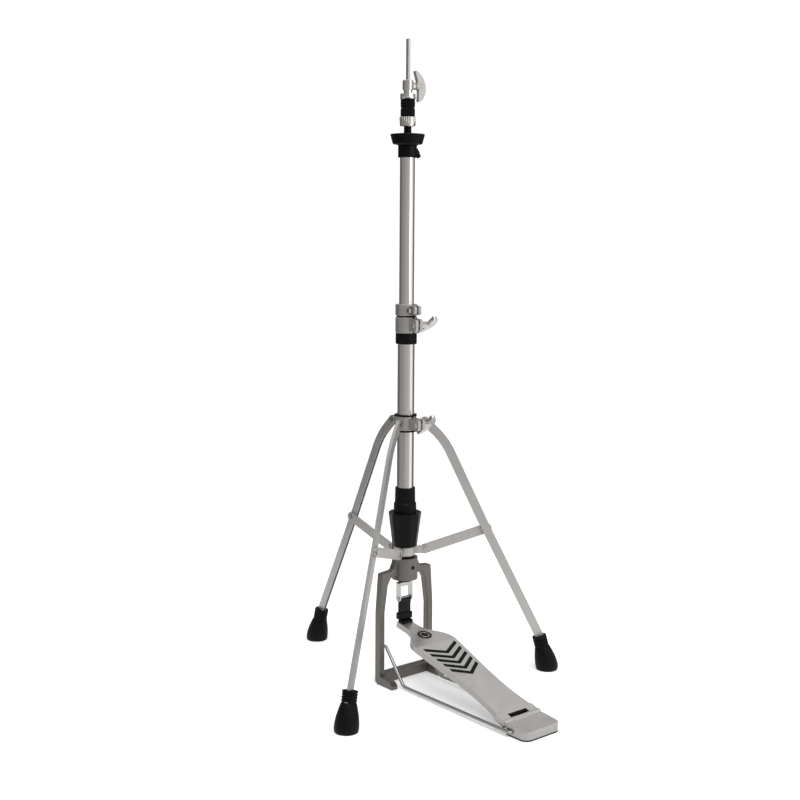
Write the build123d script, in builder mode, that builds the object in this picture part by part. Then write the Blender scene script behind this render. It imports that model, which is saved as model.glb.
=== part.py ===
from build123d import *
import os
from math import atan2, cos, degrees, hypot, radians, sin

# Hi-hat stand without cymbals: a cast arch on the floor carries two telescoping tubes, a pull
# rod runs through them from the pedal to the clutch, and a folding tripod stands round the tube.
# Frame: +Z up, origin on the floor under the tube's axis, pedal towards -Y. Millimetres.

os.makedirs("parts", exist_ok=True)

# ---- fits -------------------------------------------------------------------------------------
running_gap = 0.05         # radial, shaft in its bore
slack_gap = 0.35           # between parts that pass each other
face_gap = 0.1             # between faces that nearly rest on each other
leg_gap = 0.4              # leg side to brace

# ---- tubes and rods -----------------------------------------------------------------------------
lower_tube_r = 12.7
lower_tube_wall = 1.25
lower_tube_seat_z = 168.0
lower_tube_top_z = 545.0
upper_tube_wall = 1.2
upper_tube_inside = 120.0  # length inside the lower tube
upper_tube_reach = 258.0   # length above the lower tube
lower_tube_bore_r = lower_tube_r - lower_tube_wall
upper_tube_r = lower_tube_bore_r - slack_gap
upper_tube_bottom_z = lower_tube_top_z - upper_tube_inside
upper_tube_top_z = lower_tube_top_z + upper_tube_reach
rod_r = 3.0
rod_reach = 163.7          # length above the upper tube
rod_top_z = upper_tube_top_z + rod_reach
rod_joint_z = 415.0
coupler_r = 6.0
coupler_length = 36.0

# ---- cast frame ---------------------------------------------------------------------------------
frame_half_width = 53.5
frame_depth = 12.0
frame_edge_round = 2.0
frame_corner = 4.0
frame_waist_z = 112.0
frame_leg = 10.5           # width of an upright
frame_crossbar = 17.0
frame_roof = 9.0           # shoulder over the window
shoulder_in = 4.5
shoulder_z = lower_tube_seat_z + 5.0
shoulder_end_x = 27.0
hub_wall = 7.3
hub_below_seat = 10.0
hub_above_seat = 24.0
hub_r = lower_tube_r + hub_wall
hub_bottom_z = lower_tube_seat_z - hub_below_seat
hub_top_z = lower_tube_seat_z + hub_above_seat
window_half_width = frame_half_width - frame_leg
window_top_z = shoulder_z - frame_roof
window_haunch = 6.0
toe_width = 11.0
toe_reach = 36.0
toe_height = 14.0
set_screw_z = lower_tube_seat_z + 10.0
set_screw_r = 3.0
hub_bush_r = 9.0
hub_bush_flange_r = 11.0
hub_bush_flange = 4.0

# ---- stretcher wire -----------------------------------------------------------------------------
wire_r = 2.5
wire_frame_x = window_half_width - 6.4
wire_frame_z = 57.0
wire_floor_z = 4.6
wire_floor_y = -44.0
wire_bend_r = 3.2
wire_corner_r = 12.0
wire_end_bend_r = 3.6
wire_hole_depth = 7.0

# ---- heel plate and footboard --------------------------------------------------------------------
pedal_reach = 258.0        # hinge line to the tube's axis
hinge_y = -pedal_reach
hinge_z = 13.5
hinge_knuckle_r = 5.5
hinge_pin_r = 2.0
heel_half_width = 35.0
heel_length = 37.8
heel_pad_thickness = 2.0
heel_pad_front = 8.0       # how far the pad runs under the hinge
heel_front_top_z = 12.5
heel_edge = 3.0
heel_corner_r = 12.0
heel_back_y = hinge_y - hinge_knuckle_r - 0.7
heel_front_y = heel_back_y - heel_length
tongue_half_width = 17.7
board_slope = 0.31
board_top_offset = 4.0
board_plate = 3.0
board_flange = 9.0
board_flange_wall = 2.6
board_toe_y = 2.5          # end of the footboard, behind the tube's axis
board_toe_half_width = 11.5
board_wide_half_width = 37.5
board_bend_to_toe = 80.0   # bend line from the footboard's end
board_bend = 6.4           # degrees by which the toe end is flatter
board_waist_half_width = 28.5
chevron_count = 5
chevron_pitch = 14.0
chevron_to_toe = 162.7     # apex of the first chevron from the footboard's end
chevron_width = 5.5
chevron_depth = 16.5
chevron_half_span_near = 25.0
chevron_half_span_far = 30.0
disc_to_toe = 53.0
disc_r = 11.0
disc_rim = 2.2
disc_hub_r = 5.0
disc_height = 0.8

# ---- strap and clevis ----------------------------------------------------------------------------
strap_width = 20.0
strap_thickness = 5.0      # doubled over
clevis_pin_z = 127.0
clevis_top_z = clevis_pin_z + 25.5
clevis_bridge = 6.0
clevis_arm = 2.5
clevis_arm_below_pin = 5.0
clevis_arm_depth = 9.0
clevis_pin_r = 2.2
clevis_pin_head = 1.2
strap_loop_r = 4.4
toe_clamp_length = 11.0
toe_clamp_height = 4.6
toe_clamp_margin = 1.0
strap_end_gap = 2.2

# ---- tripod -------------------------------------------------------------------------------------
leg_angles = (90.0, 210.0, 330.0)
leg_spread = 232.0         # radius of the circle of the feet
leg_pivot_z = 402.0
leg_depth = 13.4
leg_width = 5.0
leg_wall = 1.0
leg_pin_r = 2.2
leg_bend_r = 120.0
leg_sweep_r = 312.0
leg_tip_length = 28.0
leg_liner_wall = 1.5
leg_collar_wall = 2.2
leg_liner_lip = 2.0
leg_lug_r = 3.9
leg_liner_r = lower_tube_r + leg_liner_wall
leg_collar_r = leg_liner_r + leg_collar_wall
leg_liner_lip_r = leg_collar_r + 0.6
leg_collar_bottom_z = leg_pivot_z - 12.5
leg_collar_top_z = leg_pivot_z + 9.5
leg_pivot_r = leg_collar_r + 13.6
leg_bolt_y = -1.3 * leg_collar_r - 10.18
leg_bolt_z = leg_pivot_z - 2.0
leg_bend = (leg_pivot_r + 31.0, leg_pivot_z - 30.0)
leg_middle = (leg_spread - 111.0, 246.0)
leg_end = (leg_spread - 15.5, 56.0)
brace_rivet = (leg_middle[0] + 9.0, leg_middle[1] - 15.0)
brace_collar_wall = 3.2
brace_washer = 3.0
brace_collar_height = 14.0
brace_collar_r = lower_tube_r + brace_collar_wall
brace_collar_bottom_z = hub_top_z + brace_washer
brace_collar_top_z = brace_collar_bottom_z + brace_collar_height
brace_pivot = (brace_collar_r + 16.1, brace_collar_bottom_z + brace_collar_height / 2)
brace_width = 15.0
brace_thickness = 2.5
brace_lug_thickness = 2.5
brace_pin_r = 2.0
rivet_head_r = 3.8
rivet_head = 1.6
foot_r = 17.6
foot_neck_r = 10.4
foot_height = 56.5
foot_ring = 0.9
foot_ring_count = 4
foot_ring_pitch = 4.2
foot_ring_groove = 1.3
foot_under = 8.0           # length of the leaning axis below the floor face

# ---- spring and its adjuster ----------------------------------------------------------------------
knob_bottom_z = brace_collar_top_z + 1.0
knob_height = 52.0
knob_top_z = knob_bottom_z + knob_height
knob_bottom_r = lower_tube_r + 6.5
knob_top_r = lower_tube_r + 12.8
knob_flats = 10
knob_flat_round = 5.0
knob_cup_depth = 7.0
housing_step_z = knob_top_z + 14.0
housing_top_z = housing_step_z + 25.0
housing_top_r = lower_tube_r + 2.5
housing_step_r = lower_tube_r + 4.9
housing_ribs = 12
housing_rib_r = 1.9
spring_seat_z = knob_top_z + 2.0
spring_seat_height = 9.0
cross_pin_r = 2.0
cross_pin_slot = 12.0
spring_height = 92.0
spring_wire_r = 0.9
spring_mean_r = lower_tube_bore_r - 2.85
spring_turns = 11
retainer_height = 8.0

# ---- height clamp and memory lock -----------------------------------------------------------------
clamp_bottom_z = lower_tube_top_z - 8.0
clamp_height = 26.0
clamp_top_z = clamp_bottom_z + clamp_height
clamp_wall = 3.7
clamp_r = lower_tube_r + clamp_wall
clamp_bush_r = lower_tube_r + 0.5
clamp_bush_flange = 2.0
sleeve_r = clamp_r - 0.4
sleeve_height = 16.5
ear_thickness = 5.0
ear_gap = 3.4
ear_beyond_bolt = 6.2
height_bolt_y = -clamp_r - 7.6
height_bolt_z = clamp_bottom_z + clamp_height / 2
lock_bottom_z = clamp_top_z + 0.3
lock_height = 16.7
lock_top_z = lock_bottom_z + lock_height
lock_bolt_z = lock_bottom_z + lock_height / 2
lock_r = upper_tube_r + 5.5
lock_bolt_y = -lock_r - 3.9
lock_notch_width = 2.4
lock_boss_r = 4.9
lock_boss = 2.2
lock_key = 5.6             # side of the square key head
stud_r = 3.0
stud_tip = 1.5
ring_edge = 0.8

# ---- wings --------------------------------------------------------------------------------------
wing_span = 47.0
wing_bulge = 15.0
wing_thickness = 5.6
wing_hub_r = 5.2
wing_tip = 2.2
wing_back = 0.5
wing_stud_depth = 2.0      # how far a stud reaches into the blade
height_wing_tilt = 32.0
leg_wing_tilt = 42.0
clutch_wing_tilt = 100.0

# ---- cymbal seat ----------------------------------------------------------------------------------
seat_base_bottom_z = upper_tube_top_z - 7.0
seat_base_top_z = upper_tube_top_z + 10.6
seat_base_r = upper_tube_r + 2.9
seat_height = 17.0
seat_bottom_z = seat_base_top_z + 0.4
seat_top_z = seat_bottom_z + seat_height
seat_r = 25.6
seat_bore_r = 7.4
tilt_screw_r = 2.5
tilt_screw_lean = 35.0
tilt_screw_x = seat_base_r + 3.0
tilt_screw_z = seat_base_bottom_z + 9.0
guide_z = upper_tube_top_z - 25.0
guide_height = 12.0

# ---- clutch ---------------------------------------------------------------------------------------
spindle_r = 5.25
spindle_bottom_z = seat_top_z - 4.0
clutch_nut_bottom_z = seat_top_z + 10.7
clutch_nut_height = 13.0
clutch_nut_r = 12.25
clutch_nut_grooves = 24
felt_height = 12.9
felt_gap = 0.2
felt_r = 10.6
felt_bore_r = spindle_r + 0.15
washer_height = 2.6
washer_r = 11.6
flange_nut_height = 4.5
flange_nut_r = 11.4
clutch_neck_height = 5.6
clutch_neck_r = 6.3
clutch_head_height = 14.5
clutch_head_r = 8.0
clutch_boss_r = stud_r + 2.0


def keep(piece, label):
    """Labels a finished piece and writes its file."""
    piece.part.label = label
    export_step(piece.part, f"parts/{label}.step")


def tube(label, outer_r, inner_r, bottom_z, top_z, edge=0.4):
    """A plain ring or tube on the main axis with softened outer edges."""
    with BuildPart() as ring:
        with BuildSketch(Plane.XY.offset(bottom_z)):
            Circle(outer_r)
            Circle(inner_r, mode=Mode.SUBTRACT)
        extrude(amount=top_z - bottom_z)
        chamfer(ring.edges().filter_by(GeomType.CIRCLE).group_by(SortBy.RADIUS)[-1], edge)
    keep(ring, label)


def both_sides(points):
    """The points of one half of an outline, followed by their mirror images."""
    return list(points) + [(-x, y) for x, y in reversed(points)]


def leg_plane(angle, side=0.0):
    """Plane through the axis at a leg: x runs outwards, y up; side shifts it counter-clockwise."""
    turn = radians(angle)
    return Plane(origin=(-side * sin(turn), side * cos(turn), 0),
                 x_dir=(cos(turn), sin(turn), 0), z_dir=(sin(turn), -cos(turn), 0))


# ==== cast frame and what it holds =================================================================
hub_bush_top_z = lower_tube_seat_z - slack_gap

with BuildPart() as base_frame:
    with BuildSketch(Plane.XZ) as arch:
        with BuildLine():
            Polyline(both_sides([(frame_half_width, 0), (frame_half_width, frame_waist_z),
                                 (frame_half_width - shoulder_in, shoulder_z),
                                 (shoulder_end_x, shoulder_z + 2), (hub_r, hub_top_z - 2)]), close=True)
        make_face()
        fillet(arch.vertices(), frame_corner)
        with BuildLine():
            Polyline(both_sides([(window_half_width, frame_crossbar), (window_half_width, frame_waist_z),
                                 (window_half_width - window_haunch, window_top_z - 11),
                                 (window_half_width - 2 * window_haunch, window_top_z)]), close=True)
        make_face(mode=Mode.SUBTRACT)
    extrude(amount=frame_depth / 2, both=True)
    fillet(base_frame.faces().filter_by(Axis.Y).edges(), frame_edge_round)
    for side in (-1, 1):
        with BuildSketch(Plane.YZ.offset(side * (frame_half_width - toe_width / 2))):
            with BuildLine():
                Polyline((0, 0), (-toe_reach, 0), (-toe_reach, toe_height * 0.4),
                         (-toe_reach + 5, toe_height * 0.7), (-frame_depth / 2, toe_height),
                         (0, toe_height), close=True)
            make_face()
        extrude(amount=toe_width / 2, both=True)
    with Locations((0, 0, hub_bottom_z)):
        Cylinder(hub_r, hub_top_z - hub_bottom_z, align=(Align.CENTER, Align.CENTER, Align.MIN))
    with Locations((0, 0, hub_top_z)):
        Hole(lower_tube_r + running_gap, depth=hub_top_z - lower_tube_seat_z)
        Hole(hub_bush_r + running_gap, depth=hub_top_z - hub_bottom_z + 1)
    for side in (-1, 1):
        with Locations(Location((side * window_half_width, 0, wire_frame_z), (0, 90, 0))):
            Cylinder(wire_r + running_gap, 2 * wire_hole_depth, mode=Mode.SUBTRACT)
    with Locations(Location((0, -hub_r, set_screw_z), (90, 0, 0))):
        Cylinder(set_screw_r + running_gap, 2 * (hub_r - lower_tube_r), mode=Mode.SUBTRACT)
keep(base_frame, "base_frame")

with BuildPart() as hub_bush:
    with BuildSketch(Plane.XY.offset(hub_bottom_z - hub_bush_flange)):
        Circle(hub_bush_flange_r)
    extrude(amount=hub_bush_flange)
    with BuildSketch(Plane.XY.offset(hub_bottom_z)):
        Circle(hub_bush_r)
    extrude(amount=hub_bush_top_z - hub_bottom_z)
    with Locations((0, 0, hub_bush_top_z)):
        Hole(rod_r + running_gap)
keep(hub_bush, "hub_bush")

cross_pin_z = spring_seat_z + spring_seat_height / 2
with BuildPart() as lower_tube:
    with BuildSketch(Plane.XY.offset(lower_tube_seat_z)):
        Circle(lower_tube_r)
        Circle(lower_tube_bore_r, mode=Mode.SUBTRACT)
    extrude(amount=lower_tube_top_z - lower_tube_seat_z)
    with BuildSketch(Plane.YZ.offset(-lower_tube_r - 1)):
        with Locations((0, cross_pin_z)):
            SlotOverall(cross_pin_slot, 2 * (cross_pin_r + slack_gap), rotation=90)
    extrude(amount=2 * lower_tube_r + 2, mode=Mode.SUBTRACT)
keep(lower_tube, "lower_tube")

# ==== spring, its seat, housing and tension knob =====================================================
pin_reach = lower_tube_r + 1.6
with BuildPart() as spring_seat:
    with Locations((0, 0, spring_seat_z)):
        Cylinder(lower_tube_bore_r - slack_gap, spring_seat_height,
                 align=(Align.CENTER, Align.CENTER, Align.MIN))
    with Locations(Location((0, 0, cross_pin_z), (0, 90, 0))):
        Cylinder(cross_pin_r, 2 * pin_reach)
    with Locations((0, 0, spring_seat_z + spring_seat_height)):
        Hole(rod_r + slack_gap, depth=spring_seat_height)
keep(spring_seat, "spring_seat")

housing_bottom_z = knob_top_z - knob_cup_depth + 1
with BuildPart() as tension_housing:
    with BuildSketch(Plane.XZ):
        with BuildLine():
            Polyline((lower_tube_r + running_gap, housing_top_z), (housing_top_r - 0.6, housing_top_z),
                     (housing_top_r, housing_top_z - 0.8), (housing_top_r + 0.4, housing_step_z + 2),
                     (housing_step_r - 0.5, housing_step_z), (housing_step_r, housing_bottom_z),
                     (pin_reach + slack_gap, housing_bottom_z),
                     (pin_reach + slack_gap, cross_pin_z + cross_pin_r + 2),
                     (lower_tube_r + running_gap, cross_pin_z + cross_pin_r + 3), close=True)
        make_face()
    revolve(axis=Axis.Z)
    with PolarLocations(housing_top_r + 1.7, housing_ribs):
        with Locations((0, 0, housing_step_z + 4)):
            Cylinder(housing_rib_r, housing_top_z - housing_step_z - 3.5,
                     align=(Align.CENTER, Align.CENTER, Align.MIN), mode=Mode.SUBTRACT)
keep(tension_housing, "tension_housing")

with BuildPart() as tension_knob:
    with BuildSketch(Plane.XY.offset(knob_bottom_z)) as knob_foot:
        RegularPolygon(knob_bottom_r, knob_flats)
        fillet(knob_foot.vertices(), knob_flat_round)
    with BuildSketch(Plane.XY.offset(knob_top_z)) as knob_rim:
        RegularPolygon(knob_top_r, knob_flats)
        fillet(knob_rim.vertices(), knob_flat_round + 1)
    loft()
    with Locations((0, 0, knob_top_z)):
        Hole(housing_step_r + slack_gap, depth=knob_cup_depth)
        Hole(lower_tube_r + slack_gap, depth=knob_height)
keep(tension_knob, "tension_knob")

spring_bottom_z = spring_seat_z + spring_seat_height + spring_wire_r + face_gap
spring_top_z = spring_bottom_z + spring_height
with BuildPart() as return_spring:
    with BuildLine(Plane.XY.offset(spring_bottom_z)) as coil:
        Helix(pitch=spring_height / spring_turns, height=spring_height, radius=spring_mean_r)
    with BuildSketch(Plane(origin=coil.line @ 0, z_dir=coil.line % 0)):
        Circle(spring_wire_r)
    sweep(is_frenet=True)
keep(return_spring, "return_spring")

retainer_bottom_z = spring_top_z + spring_wire_r + face_gap
with BuildPart() as spring_retainer:
    with Locations((0, 0, retainer_bottom_z)):
        Cylinder(lower_tube_bore_r - slack_gap, retainer_height,
                 align=(Align.CENTER, Align.CENTER, Align.MIN))
    with Locations((0, 0, retainer_bottom_z + retainer_height)):
        Hole(rod_r)
keep(spring_retainer, "spring_retainer")

# ==== pull rod, clevis and strap ======================================================================
clevis_half_gap = strap_width / 2 + slack_gap
clevis_half_width = clevis_half_gap + clevis_arm
clevis_arm_z = clevis_pin_z - clevis_arm_below_pin
with BuildPart() as pull_rod_lower:
    with BuildSketch(Plane.XY.offset(clevis_top_z - clevis_bridge)):
        Circle(rod_r)
    extrude(amount=rod_joint_z - clevis_top_z + clevis_bridge)
keep(pull_rod_lower, "pull_rod_lower")

with BuildPart() as pull_rod_upper:
    with BuildSketch(Plane.XY.offset(rod_joint_z)):
        Circle(rod_r)
    extrude(amount=rod_top_z - rod_joint_z)
    chamfer(pull_rod_upper.faces().sort_by(Axis.Z)[-1].edges(), 0.8)
keep(pull_rod_upper, "pull_rod_upper")
tube("rod_coupler", coupler_r, rod_r, rod_joint_z - coupler_length / 2,
     rod_joint_z + coupler_length / 2, ring_edge)

with BuildPart() as clevis:
    with BuildSketch(Plane.XZ) as yoke:
        with BuildLine():
            Polyline(both_sides([(clevis_half_width, clevis_top_z), (clevis_half_width, clevis_arm_z),
                                 (clevis_half_gap, clevis_arm_z),
                                 (clevis_half_gap, clevis_top_z - clevis_bridge)]), close=True)
        make_face()
        fillet(yoke.vertices().group_by(Axis.Y)[-1], 2)
    extrude(amount=clevis_arm_depth / 2, both=True)
    fillet(clevis.edges().filter_by(Axis.X).group_by(Axis.Z)[0], clevis_arm_depth / 2 - 0.4)
    with Locations((0, 0, clevis_top_z)):
        Hole(rod_r, depth=clevis_bridge)
    with Locations(Location((0, 0, clevis_pin_z), (0, 90, 0))):
        Cylinder(clevis_pin_r, 2 * clevis_half_width, mode=Mode.SUBTRACT)
keep(clevis, "clevis")

with BuildPart() as clevis_pin:
    with Locations(Location((0, 0, clevis_pin_z), (0, 90, 0))):
        Cylinder(clevis_pin_r, 2 * clevis_half_width)
        for end in (-1, 1):
            with Locations((0, 0, end * (clevis_half_width + clevis_pin_head / 2))):
                Cylinder(clevis_pin_r + clevis_pin_head, clevis_pin_head)
keep(clevis_pin, "clevis_pin")

# ==== footboard: built in its own sloping plane through the hinge line ================================
slope_angle = degrees(atan2(board_slope, 1))
board_plane = Plane(origin=(0, hinge_y, hinge_z), x_dir=(1, 0, 0),
                    z_dir=(0, -sin(radians(slope_angle)), cos(radians(slope_angle))))
board_length = (board_toe_y - hinge_y) / cos(radians(slope_angle))
lug_inner_x = tongue_half_width + slack_gap
plate_start_u = 2 * hinge_knuckle_r + 0.5


def board_height(u, offset):
    """Height above the floor of a point on the board's plane, u up the slope."""
    return hinge_z + u * sin(radians(slope_angle)) + offset * cos(radians(slope_angle))


def board_y(u, offset):
    """Y of a point on the board's plane, u up the slope."""
    return hinge_y + u * cos(radians(slope_angle)) - offset * sin(radians(slope_angle))


board_edge = [(heel_half_width, 0), (board_waist_half_width + 2, 30), (board_waist_half_width, 62),
              (board_waist_half_width + 4.5, board_length - 136), (board_wide_half_width, board_length - 89),
              (board_wide_half_width - 1.5, board_length - 66), (board_toe_half_width + 9, board_length - 45),
              (board_toe_half_width, board_length - 23)]


def board_outline(inset=0.0):
    """Half outline of the footboard as a curve with a straight toe tab, moved inwards by inset."""
    curve = [(x - inset, u) for x, u in board_edge]
    toe = board_length - inset
    Spline(curve, tangents=((-0.15, 1), (-0.05, 1)))
    Polyline(curve[-1], (curve[-1][0], toe), (0, toe))


bend_u = board_length - board_bend_to_toe
bend_y = board_y(bend_u, board_top_offset)
bend_z = board_height(bend_u, board_top_offset)
bend_plane = Plane(origin=(0, bend_y, bend_z), x_dir=(1, 0, 0), z_dir=board_plane.y_dir)
toe_angle = radians(slope_angle - board_bend)
toe_plane = Plane(origin=(0, bend_y, bend_z), x_dir=(1, 0, 0), z_dir=(0, -sin(toe_angle), cos(toe_angle)))

with BuildPart() as board_blank:
    with BuildSketch(board_plane.offset(board_top_offset - board_flange)):
        with BuildLine():
            board_outline()
            Line((0, 0), (heel_half_width, 0))
            Line((0, board_length), (0, 0))
        make_face()
        mirror(about=Plane.YZ)
    extrude(amount=board_flange)
    with BuildSketch(board_plane.offset(board_top_offset - board_flange)):
        with BuildLine():
            board_outline(board_flange_wall)
            Polyline((0, board_length - board_flange_wall), (0, 0), (heel_half_width - board_flange_wall, 0))
        make_face()
        mirror(about=Plane.YZ)
    extrude(amount=board_flange - board_plate, mode=Mode.SUBTRACT)
    with BuildSketch(board_plane.offset(board_top_offset - board_flange)):
        Rectangle(2 * heel_half_width + 2, 2 * plate_start_u)
    extrude(amount=board_flange, mode=Mode.SUBTRACT)
    low = board_top_offset - board_flange
    lug_end_u = plate_start_u + 6
    for side in (-1, 1):
        lug_centre = side * (heel_half_width + lug_inner_x) / 2
        with BuildSketch(Plane.YZ.offset(lug_centre)):
            with Locations((hinge_y, hinge_z)):
                Circle(hinge_knuckle_r)
            with BuildLine():
                Polyline((board_y(0, board_top_offset), board_height(0, board_top_offset)),
                         (board_y(lug_end_u, board_top_offset), board_height(lug_end_u, board_top_offset)),
                         (board_y(lug_end_u, low), board_height(lug_end_u, low)),
                         (board_y(0, low), board_height(0, low)), close=True)
            make_face()
        extrude(amount=(heel_half_width - lug_inner_x) / 2, both=True)
    with Locations(Location((0, hinge_y, hinge_z), (0, 90, 0))):
        Cylinder(hinge_pin_r + running_gap, 4 * heel_half_width, mode=Mode.SUBTRACT)
    span_step = (chevron_half_span_far - chevron_half_span_near) / (chevron_count - 1)
    for row in range(chevron_count):
        half_span = chevron_half_span_near + span_step * row
        apex_u = board_length - chevron_to_toe + row * chevron_pitch
        with BuildSketch(board_plane.offset(board_top_offset)):
            with BuildLine():
                Polyline((-half_span, apex_u + chevron_depth), (0, apex_u),
                         (half_span, apex_u + chevron_depth))
            trace(line_width=chevron_width)
        extrude(amount=-board_flange, mode=Mode.SUBTRACT)
toe_half = split(board_blank.part, bisect_by=bend_plane, keep=Keep.TOP, mode=Mode.PRIVATE)

with BuildPart() as footboard:
    add(split(board_blank.part, bisect_by=bend_plane, keep=Keep.BOTTOM, mode=Mode.PRIVATE))
    add(toe_half.rotate(Axis((0, bend_y, bend_z), (1, 0, 0)), -board_bend))
keep(footboard, "footboard")

disc_v = board_bend_to_toe - disc_to_toe
with BuildPart() as footboard_disc:
    with BuildSketch(toe_plane):
        with Locations((0, disc_v)):
            Circle(disc_r)
    extrude(amount=disc_height)
    with BuildSketch(toe_plane.offset(disc_height)):
        with Locations((0, disc_v)):
            Circle(disc_r - disc_rim)
            Circle(disc_hub_r, mode=Mode.SUBTRACT)
    extrude(amount=-disc_height / 2, mode=Mode.SUBTRACT)
keep(footboard_disc, "footboard_disc")

toe_clamp_v = board_bend_to_toe - toe_clamp_length / 2 - toe_clamp_margin
with BuildPart() as toe_clamp:
    with BuildSketch(toe_plane):
        with Locations((0, toe_clamp_v)):
            RectangleRounded(2 * board_toe_half_width - 1, toe_clamp_length, 1.5)
    extrude(amount=toe_clamp_height)
    chamfer(toe_clamp.faces().sort_by(Axis.Z)[-1].edges(), 0.8)
keep(toe_clamp, "toe_clamp")

toe_clamp_top_z = bend_z + toe_clamp_v * sin(toe_angle) + toe_clamp_height * cos(toe_angle)
strap_bottom_z = toe_clamp_top_z + strap_end_gap
with BuildPart() as pull_strap:
    with BuildSketch(Plane.YZ):
        with Locations((0, clevis_pin_z)):
            Circle(strap_loop_r)
        with Locations((0, strap_bottom_z)):
            Rectangle(strap_thickness, clevis_pin_z - strap_bottom_z, align=(Align.CENTER, Align.MIN))
        with Locations((0, clevis_pin_z)):
            Circle(clevis_pin_r + running_gap, mode=Mode.SUBTRACT)
    extrude(amount=strap_width / 2, both=True)
keep(pull_strap, "pull_strap")

# ==== heel plate, its pad and pin, and the stretcher wire ============================================
wire_cross_y = heel_back_y - 10.0
heel_top_z = hinge_z + board_top_offset * 0.6
heel_side = [(heel_half_width, heel_front_y), (heel_half_width, heel_back_y)]
with BuildPart() as heel_plate:
    with BuildSketch(Plane.XY.offset(heel_pad_thickness)) as heel_plan:
        with BuildLine():
            Polyline(both_sides(heel_side), close=True)
        make_face()
        fillet(heel_plan.vertices().group_by(Axis.Y)[0], heel_corner_r)
        with Locations((0, heel_back_y)):
            Rectangle(2 * tongue_half_width, hinge_y + hinge_knuckle_r - heel_back_y,
                      align=(Align.CENTER, Align.MIN))
    extrude(amount=3 * hinge_z)
    with BuildSketch(Plane.YZ):
        with BuildLine():
            Polyline((heel_front_y, heel_pad_thickness), (heel_front_y, heel_front_top_z - heel_edge),
                     (heel_front_y + heel_edge, heel_front_top_z), (heel_back_y, heel_top_z),
                     (hinge_y, hinge_z + hinge_knuckle_r - 0.3), (hinge_y, heel_pad_thickness), close=True)
        make_face()
        with Locations((hinge_y, hinge_z)):
            Circle(hinge_knuckle_r)
    extrude(amount=heel_half_width, both=True, mode=Mode.INTERSECT)
    with Locations(Location((0, hinge_y, hinge_z), (0, 90, 0))):
        Cylinder(hinge_pin_r, 4 * heel_half_width, mode=Mode.SUBTRACT)
    with Locations(Location((0, wire_cross_y, wire_floor_z + wire_r), (0, 90, 0))):
        Cylinder(wire_r + running_gap, 4 * heel_half_width, mode=Mode.SUBTRACT)
keep(heel_plate, "heel_plate")

with BuildPart() as heel_pad:
    with BuildSketch() as pad_plan:
        with BuildLine():
            Polyline(both_sides(heel_side), close=True)
        make_face()
        fillet(pad_plan.vertices().group_by(Axis.Y)[0], heel_corner_r)
        with Locations((0, heel_back_y)):
            Rectangle(2 * tongue_half_width, hinge_y + heel_pad_front - heel_back_y,
                      align=(Align.CENTER, Align.MIN))
    extrude(amount=heel_pad_thickness)
keep(heel_pad, "heel_pad")

with BuildPart() as heel_hinge_pin:
    with Locations(Location((0, hinge_y, hinge_z), (0, 90, 0))):
        Cylinder(hinge_pin_r, 2 * heel_half_width + 1)
keep(heel_hinge_pin, "heel_hinge_pin")

wire_heel_x = heel_half_width + wire_r + 1.3
wire_end_x = window_half_width + wire_hole_depth - 1
right_route = [(wire_heel_x, wire_cross_y, wire_floor_z + wire_r),
               (wire_frame_x + 0.4, wire_floor_y, wire_floor_z),
               (wire_frame_x, 0, wire_frame_z), (wire_end_x, 0, wire_frame_z)]
left_route = [(-x, y, z) for x, y, z in reversed(right_route)]
right_bends = [wire_end_bend_r, wire_corner_r, wire_bend_r]
with BuildPart() as stretcher_wire:
    with BuildLine() as wire_path:
        FilletPolyline(*left_route, *right_route, radius=right_bends[::-1] + right_bends)
    with BuildSketch(Plane(origin=wire_path.line @ 0, z_dir=wire_path.line % 0)):
        Circle(wire_r)
    sweep()
keep(stretcher_wire, "stretcher_wire")


# ==== height clamp, sleeve and memory lock ===========================================================
def clamp_ears(bolt_y, bolt_z, bottom_z, top_z, reach_r):
    """Two ears in front of a clamp ring, with the bolt hole through them, in the current part."""
    ear_end = ear_beyond_bolt - bolt_y
    for side in (-1, 1):
        with BuildSketch(Plane.YZ.offset(side * (ear_gap + ear_thickness) / 2)) as ear:
            with Locations((-(ear_end + reach_r) / 2, (bottom_z + top_z) / 2)):
                Rectangle(ear_end - reach_r, top_z - bottom_z)
            fillet(ear.vertices().group_by(Axis.X)[0], min(4, (top_z - bottom_z) / 3))
        extrude(ear.sketch, amount=ear_thickness / 2, both=True)
    with BuildSketch(Plane.YZ) as slit:
        with Locations((-ear_end / 2, (bottom_z + top_z) / 2)):
            Rectangle(ear_end, 2 * (top_z - bottom_z))
    extrude(slit.sketch, amount=ear_gap / 2, both=True, mode=Mode.SUBTRACT)
    with Locations(Location((0, bolt_y, bolt_z), (0, 90, 0))):
        Cylinder(stud_r + running_gap, 4 * ear_thickness, mode=Mode.SUBTRACT)


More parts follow.
